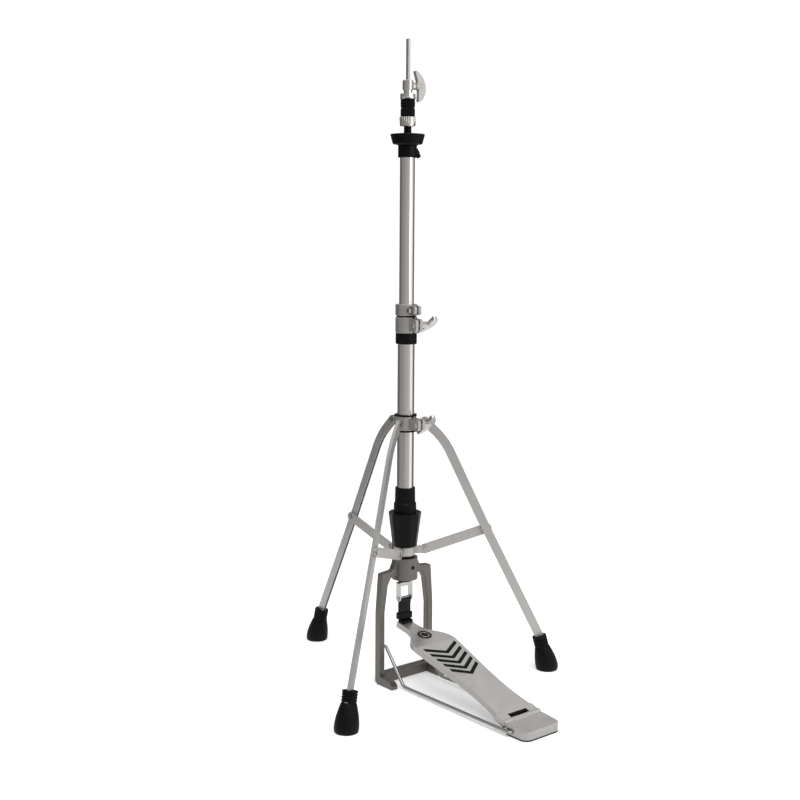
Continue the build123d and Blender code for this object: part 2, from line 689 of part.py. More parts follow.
def build_wing(label, y, z, hub_x, blade_x, tilt):
    """Half-moon wing on a hub that runs along +X, bored for its stud; tilt turns the blade up."""
    up = radians(tilt)
    blade = Plane(origin=(blade_x, y, z), x_dir=(1, 0, 0), z_dir=(0, -sin(up), -cos(up)))
    half = wing_span / 2
    with BuildPart() as wing:
        with BuildSketch(blade) as moon:
            with BuildLine():
                ThreePointArc((0, -half), (wing_bulge, 0), (0, half))
                Polyline((0, half), (-wing_tip, half - 1), (wing_back, wing_hub_r + 3),
                         (wing_back, -wing_hub_r - 3), (-wing_tip, 1 - half), (0, -half))
            make_face()
        extrude(amount=wing_thickness / 2, both=True)
        fillet(wing.edges().filter_by(GeomType.CIRCLE), 1.2)
        with BuildSketch(Plane(origin=(hub_x, y, z), x_dir=(0, 1, 0), z_dir=(1, 0, 0))):
            Circle(wing_hub_r)
        extrude(amount=blade_x + wing_bulge * 0.55 - hub_x, taper=3)
        with BuildSketch(Plane(origin=(hub_x, y, z), x_dir=(0, 1, 0), z_dir=(1, 0, 0))):
            Circle(stud_r)
        extrude(amount=blade_x + wing_stud_depth - hub_x, mode=Mode.SUBTRACT)
    keep(wing, f"{label}_wing")


def build_stud(label, y, z, start_x, end_x):
    """Threaded stud along X, drawn at its outer diameter with a softened tip."""
    with BuildPart() as stud:
        with BuildSketch(Plane(origin=(start_x, y, z), x_dir=(0, 1, 0), z_dir=(1, 0, 0))):
            Circle(stud_r)
        extrude(amount=end_x - start_x)
        chamfer(stud.faces().sort_by(Axis.X)[0].edges(), 0.6)
    keep(stud, f"{label}_stud")


tube("tube_sleeve", sleeve_r, lower_tube_r + running_gap, clamp_bottom_z - sleeve_height, clamp_bottom_z,
     ring_edge)
with BuildPart() as height_clamp:
    with BuildSketch(Plane.XY.offset(clamp_bottom_z)):
        Circle(clamp_r)
    extrude(amount=clamp_height - clamp_bush_flange)
    chamfer(height_clamp.edges().filter_by(GeomType.CIRCLE), ring_edge)
    clamp_ears(height_bolt_y, height_bolt_z, clamp_bottom_z + 3, clamp_top_z - 4, clamp_r - 2)
    with Locations((0, 0, clamp_top_z)):
        Hole(clamp_bush_r, depth=clamp_top_z - lower_tube_top_z)
        Hole(lower_tube_r + running_gap, depth=clamp_top_z - clamp_bottom_z)
keep(height_clamp, "height_clamp")

with BuildPart() as height_bush:
    with BuildSketch(Plane.XY.offset(lower_tube_top_z)):
        Circle(clamp_bush_r)
    extrude(amount=clamp_top_z - clamp_bush_flange - lower_tube_top_z)
    with BuildSketch(Plane.XY.offset(clamp_top_z - clamp_bush_flange)):
        Circle(clamp_bush_r + 1.6)
    extrude(amount=clamp_bush_flange)
    with BuildSketch(Plane.YZ):
        with Locations((-clamp_bush_r - 5, clamp_top_z - clamp_height / 4 - 2)):
            Rectangle(12, 10)
    extrude(amount=ear_gap / 2 - face_gap, both=True)
    with Locations(Location((0, height_bolt_y, height_bolt_z), (0, 90, 0))):
        Cylinder(stud_r + slack_gap, 2 * ear_gap, mode=Mode.SUBTRACT)
    with Locations((0, 0, clamp_top_z)):
        Hole(upper_tube_r + running_gap)
keep(height_bush, "height_bush")

ear_outer_x = ear_gap / 2 + ear_thickness
ear_hub_x = ear_outer_x + 0.3
height_blade_x = clamp_r + 2.6
build_wing("height", height_bolt_y, height_bolt_z, ear_hub_x, height_blade_x, height_wing_tilt)
build_stud("height", height_bolt_y, height_bolt_z, -ear_outer_x - stud_tip, height_blade_x + wing_stud_depth)

with BuildPart() as memory_lock:
    with BuildSketch(Plane.XY.offset(lock_bottom_z)):
        Circle(lock_r)
    extrude(amount=lock_height)
    chamfer(memory_lock.edges().filter_by(GeomType.CIRCLE), ring_edge)
    clamp_ears(lock_bolt_y, lock_bolt_z, lock_bottom_z + 1.5, lock_top_z - 1.5, lock_r - 2)
    with Locations((-lock_r, 0, lock_bolt_z)):
        Box(2 * lock_notch_width, lock_notch_width, 2 * lock_height, mode=Mode.SUBTRACT)
    with Locations((0, 0, lock_top_z)):
        Hole(upper_tube_r + running_gap)
keep(memory_lock, "memory_lock")

lock_plane = Plane(origin=(-ear_outer_x, lock_bolt_y, lock_bolt_z), x_dir=(0, 1, 0), z_dir=(1, 0, 0))
with BuildPart() as memory_lock_bolt:
    with BuildSketch(lock_plane):
        Circle(stud_r)
    extrude(amount=2 * ear_outer_x + stud_tip)
    with BuildSketch(lock_plane):
        Circle(lock_boss_r)
    extrude(amount=-lock_boss)
    with BuildSketch(lock_plane.offset(-lock_boss)):
        Rectangle(lock_key, lock_key)
    extrude(amount=-lock_key)
keep(memory_lock_bolt, "memory_lock_bolt")

# ==== upper tube and cymbal seat ====================================================================
tube("upper_tube", upper_tube_r, upper_tube_r - upper_tube_wall, upper_tube_bottom_z, upper_tube_top_z, 0.3)
tube("rod_guide", upper_tube_r - upper_tube_wall - running_gap, rod_r + running_gap, guide_z,
     guide_z + guide_height, 0.5)

tilt_axis = Location((tilt_screw_x, 0, tilt_screw_z), (0, -tilt_screw_lean, 0))
with BuildPart() as seat_base:
    with BuildSketch(Plane.XZ):
        with BuildLine():
            Polyline((upper_tube_r + running_gap, seat_base_bottom_z),
                     (seat_base_r - 0.6, seat_base_bottom_z), (seat_base_r, seat_base_bottom_z + 0.8),
                     (seat_base_r, seat_base_top_z - 0.6),
                     (seat_base_r - 0.6, seat_base_top_z), (seat_bore_r, seat_base_top_z),
                     (seat_bore_r, upper_tube_top_z), (upper_tube_r + running_gap, upper_tube_top_z),
                     close=True)
        make_face()
    revolve(axis=Axis.Z)
    with Locations(tilt_axis):
        Cylinder(tilt_screw_r + 1.6, 7)
        Cylinder(tilt_screw_r + running_gap, 12, mode=Mode.SUBTRACT)
    with Locations((0, 0, seat_base_bottom_z)):
        Cylinder(upper_tube_r + running_gap, 2 * (upper_tube_top_z - seat_base_bottom_z), mode=Mode.SUBTRACT)
    split(bisect_by=Plane.XY.offset(seat_base_top_z), keep=Keep.BOTTOM)
keep(seat_base, "seat_base")

with BuildPart() as seat_tilt_screw:
    with Locations(tilt_axis):
        Cylinder(tilt_screw_r, 9.4)
        with Locations((0, 0, -6.6)):
            Cylinder(tilt_screw_r + 0.9, 5)
keep(seat_tilt_screw, "seat_tilt_screw")

with BuildPart() as cymbal_seat:
    with BuildSketch(Plane.XZ):
        with BuildLine():
            Polyline((seat_bore_r, seat_bottom_z), (seat_base_r + 1.2, seat_bottom_z),
                     (seat_base_r + 2.4, seat_bottom_z + 1.4), (seat_r - 4.6, seat_bottom_z + 1.4),
                     (seat_r - 3.6, seat_bottom_z + 2.2), (seat_r - 0.4, seat_top_z - 3.4),
                     (seat_r, seat_top_z - 2), (seat_r - 0.8, seat_top_z - 0.9),
                     (seat_bore_r + 7, seat_top_z),
                     (seat_bore_r, seat_top_z), close=True)
        make_face()
    revolve(axis=Axis.Z)
keep(cymbal_seat, "cymbal_seat")

# ==== clutch ==========================================================================================
felt_bottom_z = clutch_nut_bottom_z + clutch_nut_height
felt_second_z = felt_bottom_z + felt_height + felt_gap
washer_bottom_z = felt_second_z + felt_height
flange_nut_bottom_z = washer_bottom_z + washer_height
neck_bottom_z = flange_nut_bottom_z + flange_nut_height
head_bottom_z = neck_bottom_z + clutch_neck_height
head_top_z = head_bottom_z + clutch_head_height
clutch_screw_z = head_bottom_z + clutch_head_height * 0.45
clutch_boss_x = clutch_head_r + 3.4
clutch_screw_plane = Plane(origin=(0, 0, clutch_screw_z), x_dir=(0, 1, 0), z_dir=(1, 0, 0))

with BuildPart() as clutch_body:
    with BuildSketch(Plane.XZ):
        with BuildLine():
            Polyline((0, spindle_bottom_z), (spindle_r - 0.7, spindle_bottom_z),
                     (spindle_r, spindle_bottom_z + 0.7), (spindle_r, neck_bottom_z),
                     (clutch_neck_r, neck_bottom_z), (clutch_neck_r, head_bottom_z),
                     (clutch_head_r - 0.8, head_bottom_z), (clutch_head_r, head_bottom_z + 0.8),
                     (clutch_head_r, head_top_z - 1.2), (clutch_head_r - 1.2, head_top_z), (0, head_top_z),
                     close=True)
        make_face()
    revolve(axis=Axis.Z)
    with BuildSketch(clutch_screw_plane):
        Circle(clutch_boss_r)
    extrude(amount=clutch_boss_x)
    with BuildSketch(clutch_screw_plane):
        Circle(stud_r + running_gap)
    extrude(amount=clutch_boss_x, mode=Mode.SUBTRACT)
    with Locations((0, 0, head_top_z)):
        Hole(rod_r + running_gap)
keep(clutch_body, "clutch_body")

with BuildPart() as clutch_felts:
    for bottom in (felt_bottom_z, felt_second_z):
        with BuildSketch(Plane.XY.offset(bottom)):
            Circle(felt_r)
            Circle(felt_bore_r, mode=Mode.SUBTRACT)
        extrude(amount=felt_height)
keep(clutch_felts, "clutch_felts")
tube("clutch_washer", washer_r, spindle_r + running_gap, washer_bottom_z, flange_nut_bottom_z, 0.5)

with BuildPart() as clutch_flange_nut:
    with BuildSketch(Plane.XY.offset(flange_nut_bottom_z)) as flats:
        RegularPolygon(flange_nut_r, 12)
        fillet(flats.vertices(), 1.5)
        Circle(spindle_r + running_gap, mode=Mode.SUBTRACT)
    extrude(amount=flange_nut_height)
keep(clutch_flange_nut, "clutch_flange_nut")

with BuildPart() as clutch_lock_nut:
    with BuildSketch(Plane.XY.offset(clutch_nut_bottom_z)):
        Circle(clutch_nut_r - 0.8)
    with BuildSketch(Plane.XY.offset(felt_bottom_z)):
        Circle(clutch_nut_r)
    loft()
    with PolarLocations(clutch_nut_r + 0.3, clutch_nut_grooves):
        with Locations((0, 0, clutch_nut_bottom_z)):
            Cylinder(1.0, 2 * clutch_nut_height, mode=Mode.SUBTRACT)
    with Locations((0, 0, felt_bottom_z)):
        Hole(spindle_r + running_gap)
keep(clutch_lock_nut, "clutch_lock_nut")

clutch_blade_x = clutch_boss_x + 6.0
build_wing("clutch", 0, clutch_screw_z, clutch_boss_x + 1.8, clutch_blade_x, clutch_wing_tilt)
build_stud("clutch", 0, clutch_screw_z, rod_r + 0.5, clutch_blade_x + wing_stud_depth)

# ==== tripod ==========================================================================================
with BuildPart() as leg_collar:
    with BuildSketch(Plane.XY.offset(leg_collar_bottom_z)):
        Circle(leg_collar_r)
    extrude(amount=leg_collar_top_z - leg_collar_bottom_z)
    chamfer(leg_collar.edges().filter_by(GeomType.CIRCLE), 0.7)
    lug_half = leg_width / 2 - leg_wall - slack_gap
    for angle in leg_angles:
        with BuildSketch(leg_plane(angle)):
            with BuildLine():
                Line((leg_liner_r, leg_pivot_z), (leg_pivot_r, leg_pivot_z))
            trace(line_width=2 * leg_lug_r)
            with Locations((leg_pivot_r, leg_pivot_z)):
                Circle(leg_lug_r)
        extrude(amount=lug_half, both=True)
    clamp_ears(leg_bolt_y, leg_bolt_z, leg_collar_bottom_z + 2.5, leg_collar_top_z - 2.5, leg_collar_r - 2)
    with Locations((0, 0, leg_collar_top_z)):
        Hole(leg_liner_r)
    for angle in leg_angles:
        with BuildSketch(leg_plane(angle)):
            with Locations((leg_pivot_r, leg_pivot_z)):
                Circle(leg_pin_r)
        extrude(amount=leg_width, both=True, mode=Mode.SUBTRACT)
keep(leg_collar, "leg_collar")

liner_bore_r = lower_tube_r + running_gap
liner_bottom_z = leg_collar_bottom_z - leg_liner_lip
liner_top_z = leg_collar_top_z + leg_liner_lip
with BuildPart() as leg_collar_liner:
    with BuildSketch(Plane.XZ):
        with BuildLine():
            Polyline((liner_bore_r, liner_bottom_z), (leg_liner_lip_r, liner_bottom_z),
                     (leg_liner_lip_r, leg_collar_bottom_z), (leg_liner_r, leg_collar_bottom_z),
                     (leg_liner_r, leg_collar_top_z), (leg_liner_lip_r, leg_collar_top_z),
                     (leg_liner_lip_r, liner_top_z), (liner_bore_r, liner_top_z), close=True)
        make_face()
    revolve(axis=Axis.Z)
    with BuildSketch(Plane.YZ):
        with Locations((-leg_liner_r - 4, leg_bolt_z)):
            Rectangle(10, leg_collar_top_z - leg_collar_bottom_z - 6)
    extrude(amount=ear_gap / 2 - face_gap, both=True)
    with Locations((0, 0, liner_top_z)):
        Hole(liner_bore_r)
keep(leg_collar_liner, "leg_collar_liner")

leg_blade_x = ear_hub_x + 5.5
build_wing("leg_collar", leg_bolt_y, leg_bolt_z, ear_hub_x, leg_blade_x, leg_wing_tilt)
build_stud("leg_collar", leg_bolt_y, leg_bolt_z, -ear_outer_x - stud_tip, leg_blade_x + wing_stud_depth)


def pins_at_legs(label, place, radius, from_side, to_side, head_r):
    """One pin per leg, across the leg's plane from one side to the other, with a head at each end."""
    with BuildPart() as pins:
        for angle in leg_angles:
            with BuildSketch(leg_plane(angle, from_side)):
                with Locations(place):
                    Circle(radius)
            extrude(amount=from_side - to_side)
            for head_side, out in ((from_side, 1), (to_side, -1)):
                with BuildSketch(leg_plane(angle, head_side)):
                    with Locations(place):
                        Circle(head_r)
                extrude(amount=out * rivet_head)
    keep(pins, label)


pins_at_legs("leg_pivot_rivets", (leg_pivot_r, leg_pivot_z), leg_pin_r, -leg_width / 2 - running_gap,
             leg_width / 2 + running_gap, rivet_head_r)

brace_side = leg_width / 2 + leg_gap
lug_outer_side = brace_side - slack_gap
lug_inner_side = lug_outer_side - brace_lug_thickness
with BuildPart() as brace_collar:
    with BuildSketch(Plane.XY.offset(brace_collar_bottom_z)):
        Circle(brace_collar_r)
    extrude(amount=brace_collar_height)
    chamfer(brace_collar.edges().filter_by(GeomType.CIRCLE), 0.6)
    for angle in leg_angles:
        with BuildSketch(leg_plane(angle, lug_outer_side)) as lug:
            with Locations((brace_pivot[0] - 8, brace_pivot[1])):
                Rectangle(25, brace_collar_height - 2)
            fillet(lug.vertices().group_by(Axis.X)[-1], 5)
            with Locations(brace_pivot):
                Circle(brace_pin_r, mode=Mode.SUBTRACT)
        extrude(amount=brace_lug_thickness)
    with Locations((0, 0, brace_collar_top_z)):
        Hole(lower_tube_r + slack_gap)
keep(brace_collar, "brace_collar")
tube("brace_collar_washer", brace_collar_r - 0.6, lower_tube_r + slack_gap, hub_top_z + face_gap,
     brace_collar_bottom_z, 0.5)
pins_at_legs("brace_pivot_rivets", brace_pivot, brace_pin_r, lug_inner_side,
             brace_side + brace_thickness + 0.15, rivet_head_r)

tip_length = hypot(leg_end[0] - leg_middle[0], leg_end[1] - leg_middle[1])
leg_tip = tuple(end + (end - mid) * leg_tip_length / tip_length for end, mid in zip(leg_end, leg_middle))
head_length = hypot(leg_bend[0] - leg_pivot_r, leg_bend[1] - leg_pivot_z)
leg_start = (leg_pivot_r, leg_pivot_z)
leg_before = (leg_pivot_r - (leg_bend[0] - leg_pivot_r) * leg_depth / head_length,
              leg_pivot_z - (leg_bend[1] - leg_pivot_z) * leg_depth / head_length)
leg_inward = (-0.87 * leg_wall, -0.5 * leg_wall)
foot_axis = (leg_end[0] - leg_spread, leg_end[1])


def leg_shape(start, width, shift=(0.0, 0.0)):
    """Band along a leg's route in its side sketch, from start to the tip inside the foot."""
    points = [(x + shift[0], z + shift[1]) for x, z in (start, leg_bend, leg_middle, leg_tip)]
    with BuildLine() as band:
        FilletPolyline(*points, radius=[leg_bend_r, leg_sweep_r])
    trace(band.line, line_width=width)


def build_leg(number, angle):
    """Channel-section leg, open towards the tube, with a round eye at its pivot."""
    with BuildPart() as leg:
        with BuildSketch(leg_plane(angle)):
            leg_shape(leg_start, leg_depth)
            with Locations(leg_start):
                Circle(leg_depth / 2)
        extrude(amount=leg_width / 2, both=True)
        with BuildSketch(leg_plane(angle)):
            leg_shape(leg_before, leg_depth, leg_inward)
        extrude(amount=leg_width / 2 - leg_wall, both=True, mode=Mode.SUBTRACT)
        with BuildSketch(leg_plane(angle)):
            with Locations(leg_start):
                Circle(leg_pin_r + running_gap)
        extrude(amount=leg_width, both=True, mode=Mode.SUBTRACT)
    keep(leg, f"leg_{number}")


def build_foot(number, angle):
    """Rubber foot, turned about its leaning axis, with rings at the neck and a flat floor face."""
    turn = radians(angle)
    outward = Vector(cos(turn), sin(turn), 0)
    axis = (outward * foot_axis[0] + Vector(0, 0, foot_axis[1])).normalized()
    origin = outward * leg_spread
    base = Plane(origin=origin, x_dir=(-sin(turn), cos(turn), 0), z_dir=axis)
    section = Plane(origin=origin, x_dir=base.x_dir, z_dir=base.y_dir)
    ring_start = foot_height - foot_ring_pitch * foot_ring_count
    up = -1 if section.y_dir.Z < 0 else 1
    with BuildPart() as foot:
        with BuildSketch(section):
            with BuildLine():
                Polyline((0, up * ring_start), (0, -up * foot_under), (foot_r - 1.5, -up * foot_under))
                Spline((foot_r - 1.5, -up * foot_under), (foot_r, up * 9), (foot_r - 3.2, up * 25),
                       (foot_neck_r, up * ring_start))
                Line((foot_neck_r, up * ring_start), (0, up * ring_start))
            make_face()
        revolve(axis=Axis(origin, axis))
        for ring in range(foot_ring_count):
            groove_low = ring_start + ring * foot_ring_pitch
            with BuildSketch(base.offset(groove_low)):
                Circle(foot_neck_r - foot_ring)
            extrude(amount=foot_ring_groove)
            with BuildSketch(base.offset(groove_low + foot_ring_groove)):
                Circle(foot_neck_r)
            extrude(amount=foot_ring_pitch - foot_ring_groove)
        split(bisect_by=Plane.XY, keep=Keep.TOP)
        with BuildSketch(leg_plane(angle)):
            leg_shape(leg_start, leg_depth)
        extrude(amount=leg_width / 2, both=True, mode=Mode.SUBTRACT)
    keep(foot, f"foot_{number}")


def build_brace(number, angle):
    """Flat brace beside a leg; its inner eye turns on the collar's rivet."""
    with BuildPart() as brace:
        with BuildSketch(leg_plane(angle, brace_side)):
            with BuildLine():
                Line(brace_pivot, brace_rivet)
            trace(line_width=brace_width)
            with Locations(brace_pivot, brace_rivet):
                Circle(brace_width / 2)
            with Locations(brace_pivot):
                Circle(brace_pin_r + running_gap, mode=Mode.SUBTRACT)
            with Locations(brace_rivet):
                Circle(brace_pin_r, mode=Mode.SUBTRACT)
        extrude(amount=-brace_thickness)
    keep(brace, f"brace_{number}")
    with BuildPart() as rivet:
        with BuildSketch(leg_plane(angle, brace_side)):
            with Locations(brace_rivet):
                Circle(brace_pin_r)
        extrude(amount=-brace_thickness)
        with BuildSketch(leg_plane(angle, brace_side + brace_thickness)):
            with Locations(brace_rivet):
                Circle(rivet_head_r)
        extrude(amount=-rivet_head)
    keep(rivet, f"brace_rivet_{number}")


for number, angle in enumerate(leg_angles, start=1):
    build_leg(number, angle)
    build_foot(number, angle)
    build_brace(number, angle)
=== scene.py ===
import logging
import math
from collections.abc import Sequence
from dataclasses import dataclass, field
from enum import Enum

import bpy
from mathutils import Matrix, Vector


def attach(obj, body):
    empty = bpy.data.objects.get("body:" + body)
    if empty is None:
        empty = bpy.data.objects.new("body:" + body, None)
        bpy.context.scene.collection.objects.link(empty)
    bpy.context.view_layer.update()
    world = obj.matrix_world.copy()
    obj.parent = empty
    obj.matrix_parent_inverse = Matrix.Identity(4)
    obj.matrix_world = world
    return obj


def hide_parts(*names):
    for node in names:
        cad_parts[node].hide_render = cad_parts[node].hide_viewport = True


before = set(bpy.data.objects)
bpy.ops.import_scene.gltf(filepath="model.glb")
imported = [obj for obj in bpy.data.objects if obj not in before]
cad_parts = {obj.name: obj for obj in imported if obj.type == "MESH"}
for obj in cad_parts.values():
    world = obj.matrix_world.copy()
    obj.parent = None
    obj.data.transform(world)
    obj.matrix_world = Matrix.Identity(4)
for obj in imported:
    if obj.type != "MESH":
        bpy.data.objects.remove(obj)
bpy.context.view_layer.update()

log = logging.getLogger("hi_hat_stand")
MM = 0.001
WELD = 0.000002
Color = tuple[float, float, float, float]
Feed = float | Sequence[float] | bpy.types.NodeSocket


class Finish(str, Enum):
    """The named finishes of the stand."""

    TUBE = "tube_chrome"
    FITTING = "fitting_chrome"
    WING = "wing_satin"
    ROD = "rod_steel"
    PIN = "pin_steel"
    ZINC = "stamped_zinc"
    FRAME = "frame_casting"
    BOARD = "board_casting"
    PLASTIC = "moulded_plastic"
    NYLON_AND_PAINTED_THREAD_REFLECTION = "nylon_bush_and_painted_thread_reflection"
    RUBBER = "foot_rubber"
    GRIP = "grip_rubber"
    FELT = "clutch_felt"
    STRAP = "strap_webbing"
    THREAD = "strap_thread"


# ---- finishes -------------------------------------------------------------------------------------


def grey(value: float, warmth: float = 0.0) -> Color:
    """A grey with a little warmth, as linear colour."""
    return (value * (1 + warmth), value, value * (1 - warmth), 1.0)


class Nodes:
    """A node tree, with a short call for each kind of node that finishes and sky share."""

    def __init__(self, tree: bpy.types.NodeTree) -> None:
        """Takes the tree that the calls add nodes to."""
        self.tree = tree

    def feed(self, socket: bpy.types.NodeSocket, value: Feed) -> None:
        """Links a socket to another one, or sets it to a plain value."""
        if isinstance(value, bpy.types.NodeSocket):
            self.tree.links.new(value, socket)
        else:
            socket.default_value = value

    def node(self, kind: str, inputs: dict[str | int, Feed], **settings: object) -> bpy.types.Node:
        """Adds a node.

        Args:
            kind: the node's type without its ShaderNode prefix.
            inputs: values or sockets by input name or number.
            settings: the node's own properties.

        Returns:
            The new node.
        """
        made = self.tree.nodes.new("ShaderNode" + kind)
        for key, value in settings.items():
            setattr(made, key, value)
        for key, value in inputs.items():
            self.feed(made.inputs[key], value)
        return made

    def ramp(self, factor: Feed, stops: Sequence[tuple[float, Color]]) -> bpy.types.NodeSocket:
        """Turns a value into a colour along stops of position and colour."""
        made = self.node("ValToRGB", {"Fac": factor})
        elements = made.color_ramp.elements
        while len(elements) < len(stops):
            elements.new(0.5)
        for element, (position, color) in zip(elements, stops):
            element.position = position
            element.color = color
        return made.outputs["Color"]

    def mix(self, factor: Feed, first: Feed, second: Feed) -> bpy.types.NodeSocket:
        """Mixes two colours."""
        made = self.node("Mix", {0: factor}, data_type="RGBA")
        self.feed(made.inputs[6], first)
        self.feed(made.inputs[7], second)
        return made.outputs[2]

    def math(self, operation: str, first: Feed, second: Feed = 0.0) -> bpy.types.NodeSocket:
        """One step of arithmetic."""
        return self.node("Math", {0: first, 1: second}, operation=operation).outputs[0]

    def span(self, value: Feed, low: float, high: float, to_low: float,
             to_high: float) -> bpy.types.NodeSocket:
        """Maps a value from one range to another, held at its ends."""
        made = self.node("MapRange", {"Value": value, "From Min": low, "From Max": high,
                                      "To Min": to_low, "To Max": to_high})
        return made.outputs["Result"]


class Recipe(Nodes):
    """The node tree of one finish, whose patterns read Object coordinates."""

    def __init__(self, name: str) -> None:
        """Starts a material.

        Args:
            name: the material's name.
        """
        self.material = bpy.data.materials.new(name)
        self.material.use_nodes = True
        super().__init__(self.material.node_tree)
        self.shader = self.tree.nodes["Principled BSDF"]
        self.place = self.tree.nodes.new("ShaderNodeTexCoord").outputs["Object"]

    def stretched(self, scale: Sequence[float], turn: Sequence[float] = (0, 0, 0)) -> bpy.types.NodeSocket:
        """Object coordinates turned and stretched, for grain that runs one way."""
        mapping = self.node("Mapping", {"Vector": self.place, "Scale": scale, "Rotation": turn})
        return mapping.outputs["Vector"]

    def noise(self, scale: float, detail: float = 3.0, rough: float = 0.55,
              at: bpy.types.NodeSocket | None = None) -> bpy.types.NodeSocket:
        """Noise of a given scale per metre, from 0 to 1."""
        made = self.node("TexNoise", {"Vector": at or self.place, "Scale": scale, "Detail": detail,
                                      "Roughness": rough})
        return made.outputs["Fac"]

    def bump(self, height: Feed, distance: float, strength: float = 1.0) -> None:
        """Adds relief on top of what the shader's normal has already."""
        made = self.node("Bump", {"Height": height, "Distance": distance, "Strength": strength})
        normal = self.shader.inputs["Normal"]
        if normal.is_linked:
            self.feed(made.inputs["Normal"], normal.links[0].from_socket)
        self.feed(normal, made.outputs["Normal"])

    def set(self, **inputs: Feed) -> None:
        """Sets the shader's inputs, named with underscores for spaces."""
        for key, value in inputs.items():
            self.feed(self.shader.inputs[key.replace("_", " ")], value)


@dataclass(frozen=True)
class PlatedMetal:
    """Polished or satin plating with drawing lines, haze and fine scratches.

    Attributes:
        name: the material's name.
        light: the plating's reflectance.
        warmth: how much warmer than grey it is.
        metal: how metallic it is.
        gloss: lowest and highest roughness.
        grain: stretch of the drawing lines along X, Y and Z.
        grain_turn: turn of the drawing lines, in radians.
        relief: depth of the lines in metres.
    """

    name: str
    light: float = 0.75
    warmth: float = 0.03
    metal: float = 1.0
    gloss: tuple[float, float] = (0.06, 0.16)
    grain: tuple[float, float, float] = (1.0, 1.0, 0.02)
    grain_turn: tuple[float, float, float] = (0.0, 0.0, 0.0)
    relief: float = 0.00002

    def build(self) -> bpy.types.Material:
        """Makes the material."""
        mix = Recipe(self.name)
        lines = mix.noise(1400.0, 4.0, 0.6, mix.stretched(self.grain, self.grain_turn))
        haze = mix.noise(22.0, 4.0, 0.6)
        specks = mix.noise(650.0, 2.0)
        low, high = self.gloss
        rough = mix.math("ADD", mix.span(haze, 0.35, 0.7, low, high),
                         mix.span(lines, 0.5, 0.8, 0.0, 0.35 * (high - low)))
        tone = mix.ramp(mix.math("ADD", mix.math("MULTIPLY", lines, 0.6), mix.math("MULTIPLY", haze, 0.4)),
                        [(0.25, grey(self.light * 0.93, self.warmth)), (0.75, grey(self.light, self.warmth))])
        mix.set(Base_Color=tone, Metallic=self.metal, Roughness=rough)
        mix.bump(lines, self.relief)
        mix.bump(specks, self.relief * 0.5)
        return mix.material


@dataclass(frozen=True)
class CastMetal:
    """Cast alloy with a fine sandy skin.

    Attributes:
        name: the material's name.
        dark: tone in the hollows of the skin.
        light: tone on its grains.
        metal: how metallic it is.
        gloss: lowest and highest roughness.
        relief: depth of the skin in metres.
        side: painted shade, the tone of upright faces against that of level ones; below 1 they are mixed
            towards near black.
    """

    name: str
    dark: Color
    light: Color
    metal: float = 0.85
    gloss: tuple[float, float] = (0.34, 0.5)
    relief: float = 0.00012
    side: float = 1.0

    def build(self) -> bpy.types.Material:
        """Makes the material."""
        mix = Recipe(self.name)
        sand = mix.noise(1500.0, 3.0, 0.6)
        clouds = mix.noise(38.0, 5.0, 0.6)
        both = mix.math("ADD", mix.math("MULTIPLY", sand, 0.55), mix.math("MULTIPLY", clouds, 0.45))
        skin = mix.ramp(both, [(0.3, self.dark), (0.68, self.light)])
        # painted shade: faces that lean away from level are mixed towards near black by 1 - side, level faces
        # keep the skin
        normal = mix.node("NewGeometry", {}).outputs["Normal"]
        facing = mix.node("SeparateXYZ", {"Vector": normal}).outputs["Z"]
        level = mix.span(facing, 0.3, 0.8, 0.0, 1.0)
        side_shaded_skin = mix.mix(1.0 - self.side, skin, grey(0.02))
        mix.set(Base_Color=mix.mix(level, side_shaded_skin, skin), Metallic=self.metal,
                Roughness=mix.span(clouds, 0.3, 0.7, *self.gloss))
        mix.bump(sand, self.relief)
        mix.bump(clouds, self.relief * 2.5)
        return mix.material


@dataclass(frozen=True)
class MouldedPlastic:
    """Black moulded plastic with a fine spark-eroded skin and a little dust.

    Attributes:
        name: the material's name.
        tone: base tone.
        gloss: lowest and highest roughness.
        relief: depth of the skin in metres.
        shine: specular level.
    """

    name: str
    tone: float = 0.002
    gloss: tuple[float, float] = (0.3, 0.44)
    relief: float = 0.00004
    shine: float = 0.1

    def build(self) -> bpy.types.Material:
        """Makes the material."""
        mix = Recipe(self.name)
        skin = mix.noise(2600.0, 2.0)
        clouds = mix.noise(60.0, 4.0, 0.6)
        dust = mix.math("GREATER_THAN", mix.noise(3800.0, 1.0), 0.74)
        base = mix.ramp(clouds, [(0.3, grey(self.tone)), (0.75, grey(self.tone * 1.8))])
        mix.set(Base_Color=mix.mix(mix.math("MULTIPLY", dust, 0.05), base, grey(0.2)),
                Roughness=mix.span(clouds, 0.3, 0.7, *self.gloss), Specular_IOR_Level=self.shine)
        mix.bump(skin, self.relief)
        return mix.material


@dataclass(frozen=True)
class Rubber:
    """Matte moulded rubber with scuffed, slightly grey patches near the floor.

    Attributes:
        name: the material's name.
        tone: base tone.
        scuff_z: height under which it is scuffed, in metres.
    """

    name: str
    tone: float = 0.002
    scuff_z: float = 0.012

    def build(self) -> bpy.types.Material:
        """Makes the material."""
        mix = Recipe(self.name)
        pores = mix.noise(1900.0, 3.0, 0.7)
        clouds = mix.noise(90.0, 4.0, 0.65)
        height = mix.node("SeparateXYZ", {"Vector": mix.place}).outputs["Z"]
        low = mix.span(height, 0.0, self.scuff_z, 1.0, 0.0)
        worn = mix.math("MULTIPLY", low, mix.span(clouds, 0.4, 0.7, 0.0, 0.3))
        base = mix.ramp(clouds, [(0.3, grey(self.tone)), (0.75, grey(self.tone * 1.7))])
        mix.set(Base_Color=mix.mix(worn, base, grey(0.03, 0.05)),
                Roughness=mix.span(clouds, 0.3, 0.7, 0.42, 0.58), Specular_IOR_Level=0.09)
        mix.bump(pores, 0.00006)
        mix.bump(clouds, 0.0002)
        return mix.material


